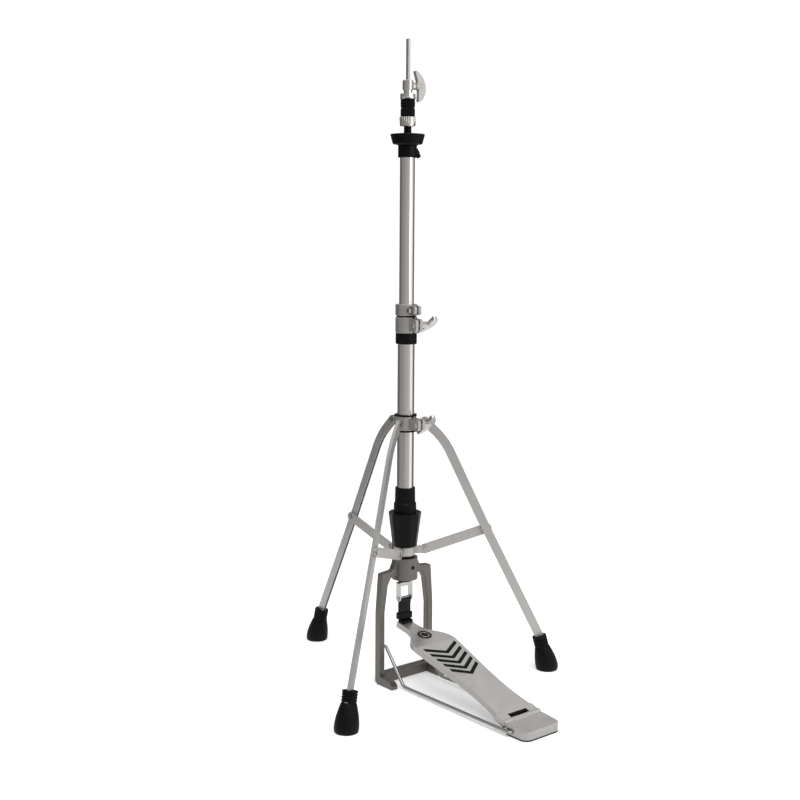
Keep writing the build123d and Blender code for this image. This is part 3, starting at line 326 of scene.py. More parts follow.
@dataclass(frozen=True)
class PressedFelt:
    """Dense black wool felt with crossing fibres and pale flecks.

    Attributes:
        name: the material's name.
        tone: base tone.
    """

    name: str
    tone: float = 0.002

    def build(self) -> bpy.types.Material:
        """Makes the material."""
        mix = Recipe(self.name)
        fibres = mix.noise(1700.0, 5.0, 0.75, mix.stretched((1, 1, 3.5)))
        lumps = mix.noise(320.0, 3.0, 0.6)
        flecks = mix.math("GREATER_THAN", mix.noise(2900.0, 1.0, 0.5, mix.stretched((1, 0.3, 2.0))), 0.7)
        base = mix.ramp(fibres, [(0.3, grey(self.tone)), (0.75, grey(self.tone * 3.2))])
        mix.set(Base_Color=mix.mix(mix.math("MULTIPLY", flecks, 0.25), base, grey(0.06)), Roughness=0.95,
                Sheen_Weight=0.06, Sheen_Roughness=0.45, Specular_IOR_Level=0.08)
        mix.bump(fibres, 0.00035)
        mix.bump(lumps, 0.0004)
        return mix.material


@dataclass(frozen=True)
class WovenNylon:
    """Black webbing: two crossing thread systems that follow the strap's length.

    Attributes:
        name: the material's name.
        pitch: distance between threads in metres.
    """

    name: str
    pitch: float = 0.0011

    def build(self) -> bpy.types.Material:
        """Makes the material."""
        mix = Recipe(self.name)
        turns = 2 * math.pi / self.pitch
        axes = mix.node("SeparateXYZ", {"Vector": mix.place})
        across = mix.math("SINE", mix.math("MULTIPLY", axes.outputs["X"], turns))
        along = mix.math("SINE", mix.math("MULTIPLY", axes.outputs["Z"], turns))
        weave = mix.math("MULTIPLY", across, along)
        height = mix.span(weave, -1.0, 1.0, 0.0, 1.0)
        fuzz = mix.noise(2600.0, 3.0, 0.7)
        mix.set(Base_Color=mix.ramp(height, [(0.0, grey(0.002)), (1.0, grey(0.009))]),
                Roughness=mix.span(fuzz, 0.3, 0.7, 0.5, 0.75), Sheen_Weight=0.05,
                Sheen_Roughness=0.5, Specular_IOR_Level=0.15)
        mix.bump(height, 0.0004)
        mix.bump(fuzz, 0.0001)
        return mix.material


@dataclass
class Finishes:
    """Every finish of the stand, made once and shared by its pieces."""

    made: dict[str, bpy.types.Material] = field(default_factory=dict)

    def __post_init__(self) -> None:
        """Builds the materials."""
        recipes = (
            PlatedMetal(Finish.TUBE.value, light=0.72, gloss=(0.04, 0.1)),
            PlatedMetal(Finish.FITTING.value, light=0.62, gloss=(0.08, 0.2), grain=(1, 1, 1)),
            PlatedMetal(Finish.WING.value, light=0.5, metal=0.8, gloss=(0.28, 0.4), grain=(1, 1, 1)),
            PlatedMetal(Finish.ROD.value, light=0.42, gloss=(0.14, 0.26)),
            PlatedMetal(Finish.PIN.value, light=0.34, gloss=(0.2, 0.36), grain=(1, 1, 1)),
            PlatedMetal(Finish.ZINC.value, light=0.38, metal=0.7, gloss=(0.34, 0.46), grain=(1, 1, 0.15)),
            CastMetal(Finish.FRAME.value, grey(0.085, 0.07), grey(0.165, 0.06)),
            # painted shade: side=0.6 mixes the upright faces of the footboard and heel plate 40% towards near
            # black
            CastMetal(Finish.BOARD.value, grey(0.46, 0.03), grey(0.60, 0.03), metal=0.9, gloss=(0.26, 0.42),
                      relief=0.00005, side=0.6),
            MouldedPlastic(Finish.PLASTIC.value),
            # real black nylon for the bushes; the same finish paints dark reflection onto the spindle's steel
            # thread
            MouldedPlastic(Finish.NYLON_AND_PAINTED_THREAD_REFLECTION.value, tone=0.003, gloss=(0.4, 0.5)),
            Rubber(Finish.RUBBER.value),
            Rubber(Finish.GRIP.value, scuff_z=0.001),
            PressedFelt(Finish.FELT.value),
            WovenNylon(Finish.STRAP.value),
            PressedFelt(Finish.THREAD.value, tone=0.008),
        )
        for recipe in recipes:
            self.made[recipe.name] = recipe.build()

    def put(self, finish: Finish, *nodes: str) -> None:
        """Gives a finish to CAD nodes through their material slots."""
        for name in nodes:
            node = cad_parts[name]
            if not node.material_slots:
                node.data.materials.append(self.made[finish.value])
            for place in node.material_slots:
                place.material = self.made[finish.value]
            log.info("dressed %s in %s", name, finish.value)

    def cover(self, finish: Finish, *pieces: bpy.types.Object) -> None:
        """Gives a finish to new pieces."""
        for piece in pieces:
            piece.data.materials.append(self.made[finish.value])
            log.info("dressed %s in %s", piece.name, finish.value)


# ---- studio ---------------------------------------------------------------------------------------


@dataclass
class Studio:
    """Pale floor, soft light all round and the camera.

    Attributes:
        camera_place: the camera's place in metres.
        camera_turn: heading from +Y towards +X, pitch down and roll, in degrees.
        lens: focal length for a 36 mm sensor.
        shift: the lens shift.
        floor_radius: radius of the pale floor.
        floor_drop: how far the floor lies under the feet.
        walls: heading, from 0 to 1 round the room, and brightness of each stretch of wall.
        wall_warmth: how much warmer than grey the walls are.
        ceiling_rise: height of a ray where walls start, and end, to turn into ceiling.
        ceiling_tone: the ceiling's brightness.
        backdrop_strength: brightness of the backdrop that only the camera sees.
        key_energy: strength of the overhead key.
        key_size: its apparent size in degrees.
        key_turn: its turn in degrees.
        panel_energy: strength of the side panel.
        panel_size: its width and height.
        panel_place: its place.
        panel_aim: the point it faces.
    """

    camera_place: tuple[float, float, float] = (-1.2145, -1.4536, 0.7016)
    camera_turn: tuple[float, float, float] = (39.88, 7.67, 0.4)
    lens: float = 56.87
    shift: tuple[float, float] = (-0.0073, -0.0095)
    floor_radius: float = 1.0
    floor_drop: float = 0.0004
    walls: tuple[tuple[float, float], ...] = (
        (0.0, 0.34), (0.05, 0.36), (0.075, 0.42), (0.14, 0.46), (0.22, 0.55), (0.29, 0.65), (0.31, 1.15),
        (0.40, 1.15), (0.43, 0.5), (0.48, 0.14), (0.62, 0.12), (0.66, 0.22), (0.78, 0.15), (0.86, 0.16),
        (0.89, 0.28), (1.0, 0.34))
    wall_warmth: float = 0.015
    ceiling_rise: tuple[float, float] = (0.15, 0.75)
    ceiling_tone: float = 0.85
    backdrop_strength: float = 1.05
    key_energy: float = 1.3
    key_size: float = 38.0
    key_turn: tuple[float, float, float] = (24.0, -16.0, 0.0)
    panel_energy: float = 14.0
    panel_size: tuple[float, float] = (0.9, 1.6)
    panel_place: tuple[float, float, float] = (0.6, -2.4, 1.2)
    panel_aim: tuple[float, float, float] = (0.0, 0.0, 0.5)

    def build(self) -> None:
        """Makes the floor, lights, world and camera."""
        self.build_floor()
        self.build_sky()
        self.build_lights()
        self.build_camera()

    def build_floor(self) -> None:
        """Makes the floor, a wide round sheet whose underside is not seen."""
        bpy.ops.object.select_all(action="DESELECT")
        bpy.ops.mesh.primitive_circle_add(vertices=96, radius=self.floor_radius, fill_type="NGON",
                                          location=(0, 0, -self.floor_drop))
        floor = bpy.context.object
        floor.name = "floor"
        mix = Recipe("pale_floor")
        mix.set(Base_Color=mix.ramp(mix.noise(3.0), [(0.3, grey(0.86)), (0.7, grey(0.9))]), Roughness=0.6,
                Specular_IOR_Level=0.25, Emission_Color=grey(1.0), Emission_Strength=0.3)
        floor.data.materials.append(mix.material)

    def build_sky(self) -> None:
        """Surrounds the stand with a white room that has darker walls between its light panels."""
        world = bpy.data.worlds.new("studio_sky")
        bpy.context.scene.world = world
        world.use_nodes = True
        world.node_tree.nodes.clear()
        sky = Nodes(world.node_tree)
        ray = sky.node("TexCoord", {}).outputs["Generated"]
        axes = sky.node("SeparateXYZ", {"Vector": ray}).outputs
        turn = sky.span(sky.math("ARCTAN2", axes["Y"], axes["X"]), -math.pi, math.pi, 0.0, 1.0)
        walls = sky.ramp(turn, [(place, grey(value, self.wall_warmth)) for place, value in self.walls])
        room = sky.mix(sky.span(axes["Z"], *self.ceiling_rise, 0.0, 1.0), walls, grey(self.ceiling_tone))
        light = sky.node("Background", {"Color": room}).outputs[0]
        backdrop = sky.node("Background", {"Color": grey(1.0), "Strength": self.backdrop_strength}).outputs[0]
        seen = sky.node("LightPath", {}).outputs["Is Camera Ray"]
        choose = sky.node("MixShader", {0: seen, 1: light, 2: backdrop})
        sky.node("OutputWorld", {"Surface": choose.outputs[0]})

    def build_lights(self) -> None:
        """Adds a soft overhead key and a wide panel from the right of the camera."""
        key = bpy.data.lights.new("key", "SUN")
        key.energy = self.key_energy
        key.angle = math.radians(self.key_size)
        lamp = bpy.data.objects.new("key", key)
        lamp.rotation_euler = [math.radians(angle) for angle in self.key_turn]
        bpy.context.scene.collection.objects.link(lamp)
        panel = bpy.data.lights.new("side_panel", "AREA")
        panel.shape = "RECTANGLE"
        panel.size, panel.size_y = self.panel_size
        panel.energy = self.panel_energy
        side = bpy.data.objects.new("side_panel", panel)
        side.location = self.panel_place
        side.rotation_euler = (Vector(self.panel_aim) - side.location).to_track_quat("-Z", "Y").to_euler()
        bpy.context.scene.collection.objects.link(side)

    def build_camera(self) -> None:
        """Places the camera and makes it the scene's own."""
        heading, pitch, roll = (math.radians(angle) for angle in self.camera_turn)
        data = bpy.data.cameras.new("camera")
        data.sensor_width = 36.0
        data.lens = self.lens
        data.shift_x, data.shift_y = self.shift
        camera = bpy.data.objects.new("camera", data)
        turn = (Matrix.Rotation(-heading, 4, "Z") @ Matrix.Rotation(math.pi / 2 - pitch, 4, "X")
                @ Matrix.Rotation(roll, 4, "Z"))
        camera.matrix_world = Matrix.Translation(self.camera_place) @ turn
        bpy.context.scene.collection.objects.link(camera)
        bpy.context.scene.camera = camera
        bpy.context.scene.view_settings.view_transform = "Standard"


# ---- shaping ----------------------------------------------------------------------------------------


def start(name: str) -> bpy.types.Object:
    """Names the piece just added and enters edit mode with all of it selected."""
    piece = bpy.context.object
    piece.name = name
    piece.data.name = name
    bpy.ops.object.mode_set(mode="EDIT")
    bpy.ops.mesh.select_all(action="SELECT")
    return piece


def finish_piece(piece: bpy.types.Object, soft: float = 0.0, angle: float = 40.0) -> bpy.types.Object:
    """Closes a piece: outward normals, softened edges, smooth shading, transform applied.

    Args:
        piece: the piece, in edit mode.
        soft: radius of its softened edges in metres.
        angle: edges sharper than this, in degrees, stay crisp.

    Returns:
        The piece.
    """
    bpy.ops.mesh.select_all(action="SELECT")
    bpy.ops.mesh.remove_doubles(threshold=WELD)
    bpy.ops.mesh.normals_make_consistent(inside=False)
    bpy.ops.object.mode_set(mode="OBJECT")
    if soft:
        bevel = piece.modifiers.new("soft_edges", "BEVEL")
        bevel.width = soft
        bevel.segments = 3
        bevel.limit_method = "ANGLE"
        bpy.ops.object.modifier_apply(modifier=bevel.name)
    bpy.ops.object.transform_apply(location=True, rotation=True, scale=True)
    bpy.ops.object.shade_smooth_by_angle(angle=math.radians(angle))
    log.info("built %s", piece.name)
    return piece


def settle(piece: bpy.types.Object, turn: Sequence[float], place: Sequence[float]) -> None:
    """Turns and moves a piece, and puts its new place into its mesh.

    Args:
        piece: the piece, in object mode.
        turn: its turn round X, Y and Z in radians.
        place: where its origin goes, in metres.
    """
    piece.rotation_euler = turn
    piece.location = place
    bpy.ops.object.transform_apply(location=True, rotation=True, scale=True)


def lathe(name: str, stations: Sequence[tuple[float, float]], base: tuple[float, float, float] = (0, 0, 0),
          segments: int = 64, bored: bool = True) -> bpy.types.Object:
    """Turns a profile round a vertical axis by extruding and resizing a ring.

    Args:
        name: the piece's name.
        stations: radius and height of each ring in mm, starting at the foot.
        base: the axis' foot in mm.
        segments: corners of each ring.
        bored: joins the last ring to the first, for a profile that returns through a bore.

    Returns:
        The piece, still in edit mode.
    """
    bpy.ops.object.select_all(action="DESELECT")
    radius, height = stations[0]
    x, y, z = (value * MM for value in base)
    bpy.ops.mesh.primitive_circle_add(vertices=segments, radius=radius * MM, fill_type="NOTHING",
                                      location=(x, y, z + height * MM))
    piece = start(name)
    for next_radius, next_height in stations[1:]:
        rise = (next_height - height) * MM
        bpy.ops.mesh.extrude_region_move(TRANSFORM_OT_translate={"value": (0, 0, rise)})
        scale = next_radius / radius
        bpy.ops.transform.resize(value=(scale, scale, 1), center_override=(x, y, z + next_height * MM))
        radius, height = next_radius, next_height
    if bored:
        drop = (stations[0][1] - height) * MM
        bpy.ops.mesh.extrude_region_move(TRANSFORM_OT_translate={"value": (0, 0, drop)})
        scale = stations[0][0] / radius
        bpy.ops.transform.resize(value=(scale, scale, 1), center_override=(x, y, z + stations[0][1] * MM))
    else:
        bpy.ops.mesh.edge_face_add()
        bpy.ops.mesh.select_all(action="DESELECT")
        bpy.ops.mesh.select_non_manifold()
        bpy.ops.mesh.edge_face_add()
    return piece


def bar(name: str, place: Sequence[float], section: tuple[float, float],
        steps: Sequence[tuple[float, float, float]], across: bool = True) -> bpy.types.Object:
    """Extrudes a rectangular section along steps.

    Args:
        name: the piece's name.
        place: centre of the first section in mm.
        section: size of the section in mm, along Y and Z if it faces X, else along X and Y.
        steps: moves in mm from one section to the next.
        across: the section faces X, not Z.

    Returns:
        The piece, still in edit mode.
    """
    bpy.ops.object.select_all(action="DESELECT")
    turn = (0, math.pi / 2, 0) if across else (0, 0, 0)
    bpy.ops.mesh.primitive_plane_add(size=1, location=[value * MM for value in place], rotation=turn)
    piece = start(name)
    size = (1, section[0] * MM, section[1] * MM) if across else (section[0] * MM, section[1] * MM, 1)
    bpy.ops.transform.resize(value=size, center_override=[value * MM for value in place])
    for step in steps:
        bpy.ops.mesh.extrude_region_move(TRANSFORM_OT_translate={"value": [value * MM for value in step]})
    return piece


# ---- sub-assemblies -----------------------------------------------------------------------------------


@dataclass
class CastBase:
    """Cast arch with its bush, stretcher wire, heel plate and pad."""

    def dress(self, finishes: Finishes) -> None:
        """Dresses the base's nodes."""
        finishes.put(Finish.FRAME, "base_frame")
        finishes.put(Finish.NYLON_AND_PAINTED_THREAD_REFLECTION, "hub_bush")
        finishes.put(Finish.PIN, "stretcher_wire", "heel_hinge_pin")
        finishes.put(Finish.BOARD, "heel_plate")
        finishes.put(Finish.RUBBER, "heel_pad")


@dataclass
class Pedal:
    """Footboard with its rubber grips, badge ring, clevis and doubled strap.

    Attributes:
        hinge: the hinge line's Y and Z in mm.
        slope: the footboard's slope, rise over run.
        top: the tread's height above the board's plane in mm.
        length: length of the board in mm, hinge to toe.
        grip_count: number of chevron grips.
        grip_pitch: distance between them in mm.
        grip_to_toe: apex of the first one from the toe in mm.
        grip_section: width and height of a grip in mm.
        grip_rise: how far a grip stands above the tread in mm.
        grip_depth: how far a grip's ends are up the board from its apex in mm.
        grip_spans: half width of the first and last grip in mm.
        grip_bite: how far a grip's ends run past its span in mm.
        pin_z: height of the clevis pin in mm.
        ply: width and thickness of one ply of the strap in mm.
        ply_clearance: half of the gap between the plies in mm.
        loop_r: radius of the ply's middle round the pin in mm.
        loop_steps: steps of its turn over the pin.
        pinch_z: height at which the plies meet in mm.
        strap_foot_z: lower end of the strap in mm.
        stitch_rows: distance of each row of stitches under the pin in mm.
        stitch_count: stitches in a row.
        stitch_margin: bare webbing on each side of a row in mm.
        stitch_fill: share of its pitch that a stitch covers.
        stitch_height: height of a stitch in mm.
        stitch_show: how much longer a stitch is than the two plies are thick, in mm.
        keeper: size of the block that holds the strap's end, in mm.
        keeper_drop: how far it hangs under the strap in mm.
        disc_to_toe: centre of the badge disc from the toe in mm.
        bend: bend line from the toe in mm, and how much flatter the toe end is, in degrees.
        slot_block: size of the rubber block in the slot before the hinge, in mm.
        slot_block_y: centre of the block from the hinge line in mm.
        slot_block_drop: its top under the tread in mm.
        badge_ring: inner and outer radius of its bright ring in mm.
        badge_rise: underside over the tread, then edge and top over the underside, in mm.
        badge_chamfer: width of the ring's chamfers in mm.
    """

    hinge: tuple[float, float] = (-258.0, 13.5)
    slope: float = 0.31
    top: float = 4.0
    length: float = 272.73
    grip_count: int = 5
    grip_pitch: float = 14.0
    grip_to_toe: float = 162.7
    grip_section: tuple[float, float] = (5.6, 4.4)
    grip_rise: float = 0.7
    grip_depth: float = 16.5
    grip_spans: tuple[float, float] = (25.0, 30.0)
    grip_bite: float = 0.9
    pin_z: float = 127.0
    ply: tuple[float, float] = (19.8, 3.3)
    ply_clearance: float = 0.05
    loop_r: float = 4.0
    loop_steps: int = 16
    pinch_z: float = 118.0
    strap_foot_z: float = 94.2
    stitch_rows: tuple[float, ...] = (10.0, 11.6)
    stitch_count: int = 7
    stitch_margin: float = 2.0
    stitch_fill: float = 0.62
    stitch_height: float = 0.6
    stitch_show: float = 0.5
    keeper: tuple[float, float, float] = (25.0, 11.0, 10.5)
    keeper_drop: float = 0.6
    disc_to_toe: float = 53.0
    bend: tuple[float, float] = (80.0, 6.4)
    slot_block: tuple[float, float, float] = (34.6, 3.6, 7.0)
    slot_block_y: float = 9.9
    slot_block_drop: float = 1.0
    badge_ring: tuple[float, float] = (5.4, 8.2)
    badge_rise: tuple[float, float, float] = (0.3, 0.5, 0.75)
    badge_chamfer: float = 0.3

    def build(self, finishes: Finishes) -> None:
        """Makes the grips, the strap with its keeper and stitches, the badge ring and the slot block."""
        for row in range(self.grip_count):
            self.build_grip(row, finishes)
        self.build_strap(finishes)
        self.build_keeper(finishes)
        self.build_badge_ring(finishes)
        self.build_slot_block(finishes)
        for number, drop in enumerate(self.stitch_rows):
            for place in range(self.stitch_count):
                self.build_stitch(number, place, drop, finishes)

    def build_grip(self, row: int, finishes: Finishes) -> None:
        """Makes one V-shaped rubber grip that fills a slot of the footboard.

        Args:
            row: its number, from the heel.
            finishes: the finishes to dress it in.
        """
        near, far = self.grip_spans
        span = near + (far - near) * row / (self.grip_count - 1) + self.grip_bite
        depth = self.grip_depth * span / (span - self.grip_bite)
        apex = self.length - self.grip_to_toe + row * self.grip_pitch
        width, height = self.grip_section
        centre = (-span, apex + depth, self.top + self.grip_rise - height / 2)
        long_side = width * math.hypot(span, depth) / span
        piece = bar(f"grip_{row + 1}", centre, (long_side, height), [(span, -depth, 0), (span, depth, 0)])
        self.lay_on_board(finish_piece(piece, soft=0.0005))
        finishes.cover(Finish.GRIP, piece)
        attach(piece, "footboard")

    def lay_on_board(self, piece: bpy.types.Object) -> None:
        """Turns a piece made flat at the origin onto the sloping board."""
        settle(piece, (math.atan(self.slope), 0, 0), (0, self.hinge[0] * MM, self.hinge[1] * MM))

    def build_badge_ring(self, finishes: Finishes) -> None:
        """Makes the plain bright ring on the badge disc."""
        inner, outer = self.badge_ring
        from_toe, flatter = self.bend
        line = Vector((0, self.length - from_toe, self.top)) * MM
        under, edge, top = self.badge_rise
        foot = (0, from_toe - self.disc_to_toe, under)
        section = [(inner, 0), (outer, 0), (outer, edge), (outer - self.badge_chamfer, top),
                   (inner + self.badge_chamfer, top), (inner, edge)]
        piece = lathe("badge_ring", section, base=foot)
        finish_piece(piece)
        settle(piece, (-math.radians(flatter), 0, 0), line)
        self.lay_on_board(piece)
        finishes.cover(Finish.PIN, piece)
        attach(piece, "footboard")

    def build_slot_block(self, finishes: Finishes) -> None:
        """Makes the black block seen in the slot between the heel plate's tongue and the tread."""
        width, depth, height = self.slot_block
        place = (0, self.slot_block_y, self.top - self.slot_block_drop - height)
        piece = bar("slot_block", place, (width, depth), [(0, 0, height)], across=False)
        self.lay_on_board(finish_piece(piece, soft=0.0004))
        finishes.cover(Finish.GRIP, piece)
        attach(piece, "footboard")

    def build_keeper(self, finishes: Finishes) -> None:
        """Makes the block round the strap's lower end."""
        width, depth, height = self.keeper
        place = (0, 0, self.strap_foot_z - self.keeper_drop)
        piece = bar("strap_keeper", place, (width, depth), [(0, 0, height)], across=False)
        finish_piece(piece, soft=0.0016)
        finishes.cover(Finish.PLASTIC, piece)
        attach(piece, "pull_strap")

    def build_strap(self, finishes: Finishes) -> None:
        """Makes the strap: up behind, over the clevis pin and down in front."""
        half = self.ply[1] / 2 + self.ply_clearance
        straight = self.pinch_z - self.strap_foot_z
        lean = (0, self.loop_r - half, self.pin_z - self.pinch_z)
        piece = bar("strap_webbing", (0, half, self.strap_foot_z), self.ply,
                    [(0, 0, straight), lean], across=False)
        bpy.ops.mesh.spin(steps=self.loop_steps, angle=math.pi, center=(0, 0, self.pin_z * MM),
                          axis=(1, 0, 0))
        for step in ((0, lean[1], -lean[2]), (0, 0, -straight)):
            bpy.ops.mesh.extrude_region_move(TRANSFORM_OT_translate={"value": [value * MM for value in step]})
        finish_piece(piece, soft=0.0004, angle=50)
        finishes.cover(Finish.STRAP, piece)
        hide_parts("pull_strap")
        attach(piece, "pull_strap")

    def build_stitch(self, number: int, place: int, drop: float, finishes: Finishes) -> None:
        """Makes one stitch that runs through both plies and shows on each face.

        Args:
            number: its row.
            place: its place in the row.
            drop: how far the row is under the clevis pin in mm.
            finishes: the finishes to dress it in.
        """
        pitch = (self.ply[0] - 2 * self.stitch_margin) / self.stitch_count
        x = (place + 0.5 - self.stitch_count / 2) * pitch
        reach = 2 * self.ply[1] + self.stitch_show
        centre = (x * MM, 0, (self.pin_z - drop) * MM)
        bpy.ops.object.select_all(action="DESELECT")
        bpy.ops.mesh.primitive_cube_add(size=1, location=centre)
        piece = start(f"stitch_{number + 1}_{place + 1}")
        size = (self.stitch_fill * pitch * MM, reach * MM, self.stitch_height * MM)
        bpy.ops.transform.resize(value=size, center_override=centre)
        finish_piece(piece, soft=0.0002)
        finishes.cover(Finish.THREAD, piece)
        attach(piece, "pull_strap")

    def dress(self, finishes: Finishes) -> None:
        """Dresses the pedal's nodes."""
        finishes.put(Finish.BOARD, "footboard")
        finishes.put(Finish.PLASTIC, "footboard_disc", "toe_clamp")
        finishes.put(Finish.ROD, "clevis")
        finishes.put(Finish.PIN, "clevis_pin")


@dataclass
class Column:
    """Tubes, pull rod, spring, tension knob, height clamp and memory lock."""

    def dress(self, finishes: Finishes) -> None:
        """Dresses the column's nodes."""
        finishes.put(Finish.TUBE, "lower_tube", "upper_tube")
        finishes.put(Finish.ROD, "pull_rod_lower", "pull_rod_upper", "rod_coupler", "return_spring")
        finishes.put(Finish.PIN, "spring_retainer", "spring_seat", "memory_lock_bolt")
        finishes.put(Finish.WING, "height_wing")
        finishes.put(Finish.FITTING, "height_stud")
        finishes.put(Finish.ZINC, "height_clamp", "memory_lock")
        finishes.put(Finish.PLASTIC, "tension_housing", "tension_knob", "tube_sleeve")
        finishes.put(Finish.NYLON_AND_PAINTED_THREAD_REFLECTION, "height_bush", "rod_guide", "brace_collar_washer")


@dataclass
class Tripod:
    """Legs, braces, collars and feet.

    Attributes:
        leg_angles: headings of the legs in degrees.
        spread: radius of the circle of the feet in mm.
        lean: the feet's axis runs this far in, and up, in mm.
        foot_profile: radius and height along the axis of each ring of a foot, in mm.
        ring_start: where the neck's rings start, along the axis, in mm.
        ring_count: rings on a neck.
        ring_pitch: distance between them in mm.
        ring_shape: radius over the neck's, and height, of each point of a ring in mm.
        ring_end: radius over the neck's where a ring meets the next one, in mm.
        neck_r: radius of a neck in mm.
        neck_lip: how far the neck's last edge runs in, and up, in mm.
    """

    leg_angles: tuple[float, ...] = (90.0, 210.0, 330.0)
    spread: float = 232.0
    lean: tuple[float, float] = (15.5, 56.0)
    foot_profile: tuple[tuple[float, float], ...] = (
        (3.0, -6.5), (11.0, -5.6), (15.0, -3.6), (17.0, 0.0), (17.7, 5.0), (17.5, 12.0), (16.2, 21.0),
        (14.4, 28.5), (12.6, 35.0), (11.2, 39.2))
    ring_start: float = 39.7
    ring_count: int = 4
    ring_pitch: float = 4.2
    ring_shape: tuple[tuple[float, float], ...] = ((-0.7, 0.3), (-0.7, 1.0), (0.2, 1.5), (0.4, 2.7))
    ring_end: float = 0.1
    neck_r: float = 11.0
    neck_lip: tuple[float, float] = (1.6, 0.5)

    def build(self, finishes: Finishes) -> None:
        """Makes the three feet."""
        for number, angle in enumerate(self.leg_angles, start=1):
            self.build_foot(number, math.radians(angle), finishes)

    def build_foot(self, number: int, turn: float, finishes: Finishes) -> None:
        """Makes one rounded rubber foot with rings on its neck, worn flat at the floor.

        Args:
            number: its number.
            turn: heading of its leg in radians.
            finishes: the finishes to dress it in.
        """
        stations = list(self.foot_profile)
        for ring in range(self.ring_count):
            low = self.ring_start + ring * self.ring_pitch
            for radius, rise in (*self.ring_shape, (self.ring_end, self.ring_pitch)):
                stations.append((self.neck_r + radius, low + rise))
        run_in, run_up = self.neck_lip
        stations.append((self.neck_r - run_in, stations[-1][1] + run_up))
        piece = lathe(f"rubber_foot_{number}", stations, bored=False)
        finish_piece(piece, angle=35)
        lean = math.atan2(self.lean[0], self.lean[1])
        settle(piece, (0, -lean, turn), (self.spread * math.cos(turn) * MM,
                                         self.spread * math.sin(turn) * MM, 0))
        bpy.ops.object.mode_set(mode="EDIT")
        bpy.ops.mesh.select_all(action="SELECT")
        bpy.ops.mesh.bisect(plane_co=(0, 0, 0), plane_no=(0, 0, 1), use_fill=True, clear_inner=True)
        bpy.ops.object.mode_set(mode="OBJECT")
        finishes.cover(Finish.RUBBER, piece)
        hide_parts(f"foot_{number}")
        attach(piece, f"leg_{number}")

    def dress(self, finishes: Finishes) -> None:
        """Dresses the tripod's nodes."""
        for part in ("leg", "brace"):
            finishes.put(Finish.ZINC, *[f"{part}_{number}" for number in (1, 2, 3)])
        finishes.put(Finish.ZINC, "leg_collar", "brace_collar")
        finishes.put(Finish.PIN, *[f"brace_rivet_{number}" for number in (1, 2, 3)])
        finishes.put(Finish.PIN, "brace_pivot_rivets", "leg_pivot_rivets")
        finishes.put(Finish.WING, "leg_collar_wing")
        finishes.put(Finish.FITTING, "leg_collar_stud")
        finishes.put(Finish.PLASTIC, "leg_collar_liner")


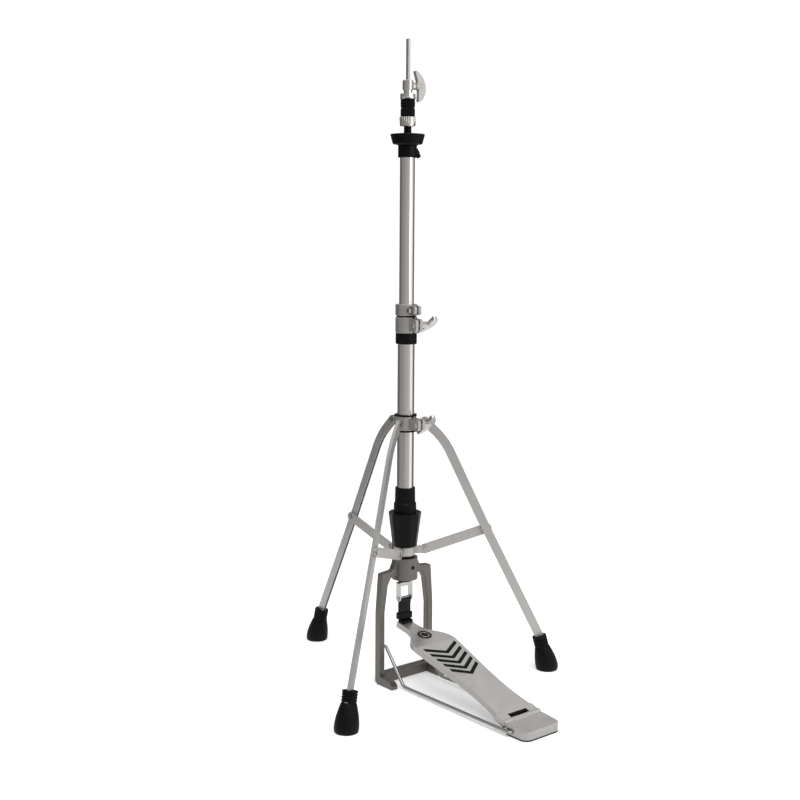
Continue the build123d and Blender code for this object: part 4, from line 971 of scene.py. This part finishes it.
@dataclass
class SeatAndClutch:
    """Cymbal seat and clutch with its two felts and bare thread.

    Attributes:
        felt_bottom_z: underside of the lower felt in mm.
        felt_height: height of a felt in mm.
        felt_gap: gap between the felts in mm.
        felt_r: radius of a felt in mm.
        felt_bore_r: radius of its bore in mm.
        felt_edge: how far in, and up, each point of a felt's rounded edge is, in mm.
        felt_mouth: how far the bore's edge is up, in mm.
        felt_flank: share of a felt's height at which its side is upright.
        felt_swell: how far its side stands out at half height in mm.
        thread: lowest and highest point of the spindle's bare thread in mm.
        thread_r: outer radius of the thread in mm.
        thread_pitch: its pitch in mm.
        thread_clearance: gap between the thread's bore and the felts' in mm.
        thread_root: depth of material over that bore at the root, in mm.
        thread_ridge: heights in a pitch where a ridge starts, reaches and leaves its crest, and ends.
    """

    felt_bottom_z: float = 854.7
    felt_height: float = 12.9
    felt_gap: float = 0.2
    felt_r: float = 10.6
    felt_bore_r: float = 5.45
    felt_edge: tuple[tuple[float, float], ...] = ((1.6, 0.0), (0.6, 0.35), (0.1, 1.1))
    felt_mouth: float = 0.3
    felt_flank: float = 0.3
    felt_swell: float = 0.12
    thread: tuple[float, float] = (827.2, 841.5)
    thread_r: float = 5.75
    thread_pitch: float = 1.5
    thread_clearance: float = 0.1
    thread_root: float = 0.05
    thread_ridge: tuple[float, float, float, float] = (0.2, 0.6, 0.9, 1.3)

    def build(self, finishes: Finishes) -> None:
        """Makes the felts and the thread."""
        for number in (1, 2):
            bottom = self.felt_bottom_z + (number - 1) * (self.felt_height + self.felt_gap)
            self.build_felt(number, bottom, finishes)
        self.build_thread(finishes)

    def build_thread(self, finishes: Finishes) -> None:
        """Makes the ridges of the spindle's steel thread between the seat and the lock nut, dressed near
        black as a painted dark reflection.
        """
        low, high = self.thread
        inner = self.felt_bore_r - self.thread_clearance
        root = inner + self.thread_root
        radii = (root, self.thread_r, self.thread_r, root)
        stations = [(inner, 0.0)]
        for turn in range(int((high - low) / self.thread_pitch)):
            foot = turn * self.thread_pitch
            stations += [(radius, foot + rise) for radius, rise in zip(radii, self.thread_ridge)]
        stations.append((inner, high - low))
        piece = lathe("spindle_thread", stations, base=(0, 0, low))
        finish_piece(piece, angle=30)
        # painted reflection: the steel thread takes the black nylon finish, so the dark room it reflects is
        # painted into its colour
        finishes.cover(Finish.NYLON_AND_PAINTED_THREAD_REFLECTION, piece)
        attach(piece, "clutch")

    def build_felt(self, number: int, bottom: float, finishes: Finishes) -> None:
        """Makes one felt with soft, slightly swollen sides.

        Args:
            number: its number, from below.
            bottom: its underside in mm.
            finishes: the finishes to dress it in.
        """
        r, h = self.felt_r, self.felt_height
        edge = [(r - inset, rise) for inset, rise in self.felt_edge]
        lower = [(self.felt_bore_r, self.felt_mouth), *edge, (r, h * self.felt_flank)]
        upper = [(radius, h - rise) for radius, rise in reversed(lower)]
        piece = lathe(f"felt_{number}", [*lower, (r + self.felt_swell, h / 2), *upper], base=(0, 0, bottom),
                      segments=96)
        finish_piece(piece, angle=60)
        finishes.cover(Finish.FELT, piece)
        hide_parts("clutch_felts")
        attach(piece, "clutch")

    def dress(self, finishes: Finishes) -> None:
        """Dresses the seat's and the clutch's nodes."""
        finishes.put(Finish.PLASTIC, "seat_base", "cymbal_seat", "seat_tilt_screw")
        finishes.put(Finish.WING, "clutch_wing")
        finishes.put(Finish.FITTING, "clutch_body", "clutch_flange_nut", "clutch_lock_nut", "clutch_washer",
                     "clutch_stud")


def main() -> None:
    """Builds the sub-assemblies in order and dresses them."""
    logging.basicConfig(level=logging.INFO, format="%(name)s: %(message)s")
    Studio().build()
    finishes = Finishes()
    pedal = Pedal()
    tripod = Tripod()
    clutch = SeatAndClutch()
    for group in (pedal, tripod, clutch):
        group.build(finishes)
    for group in (CastBase(), pedal, Column(), tripod, clutch):
        group.dress(finishes)


if __name__ == "__main__":
    main()
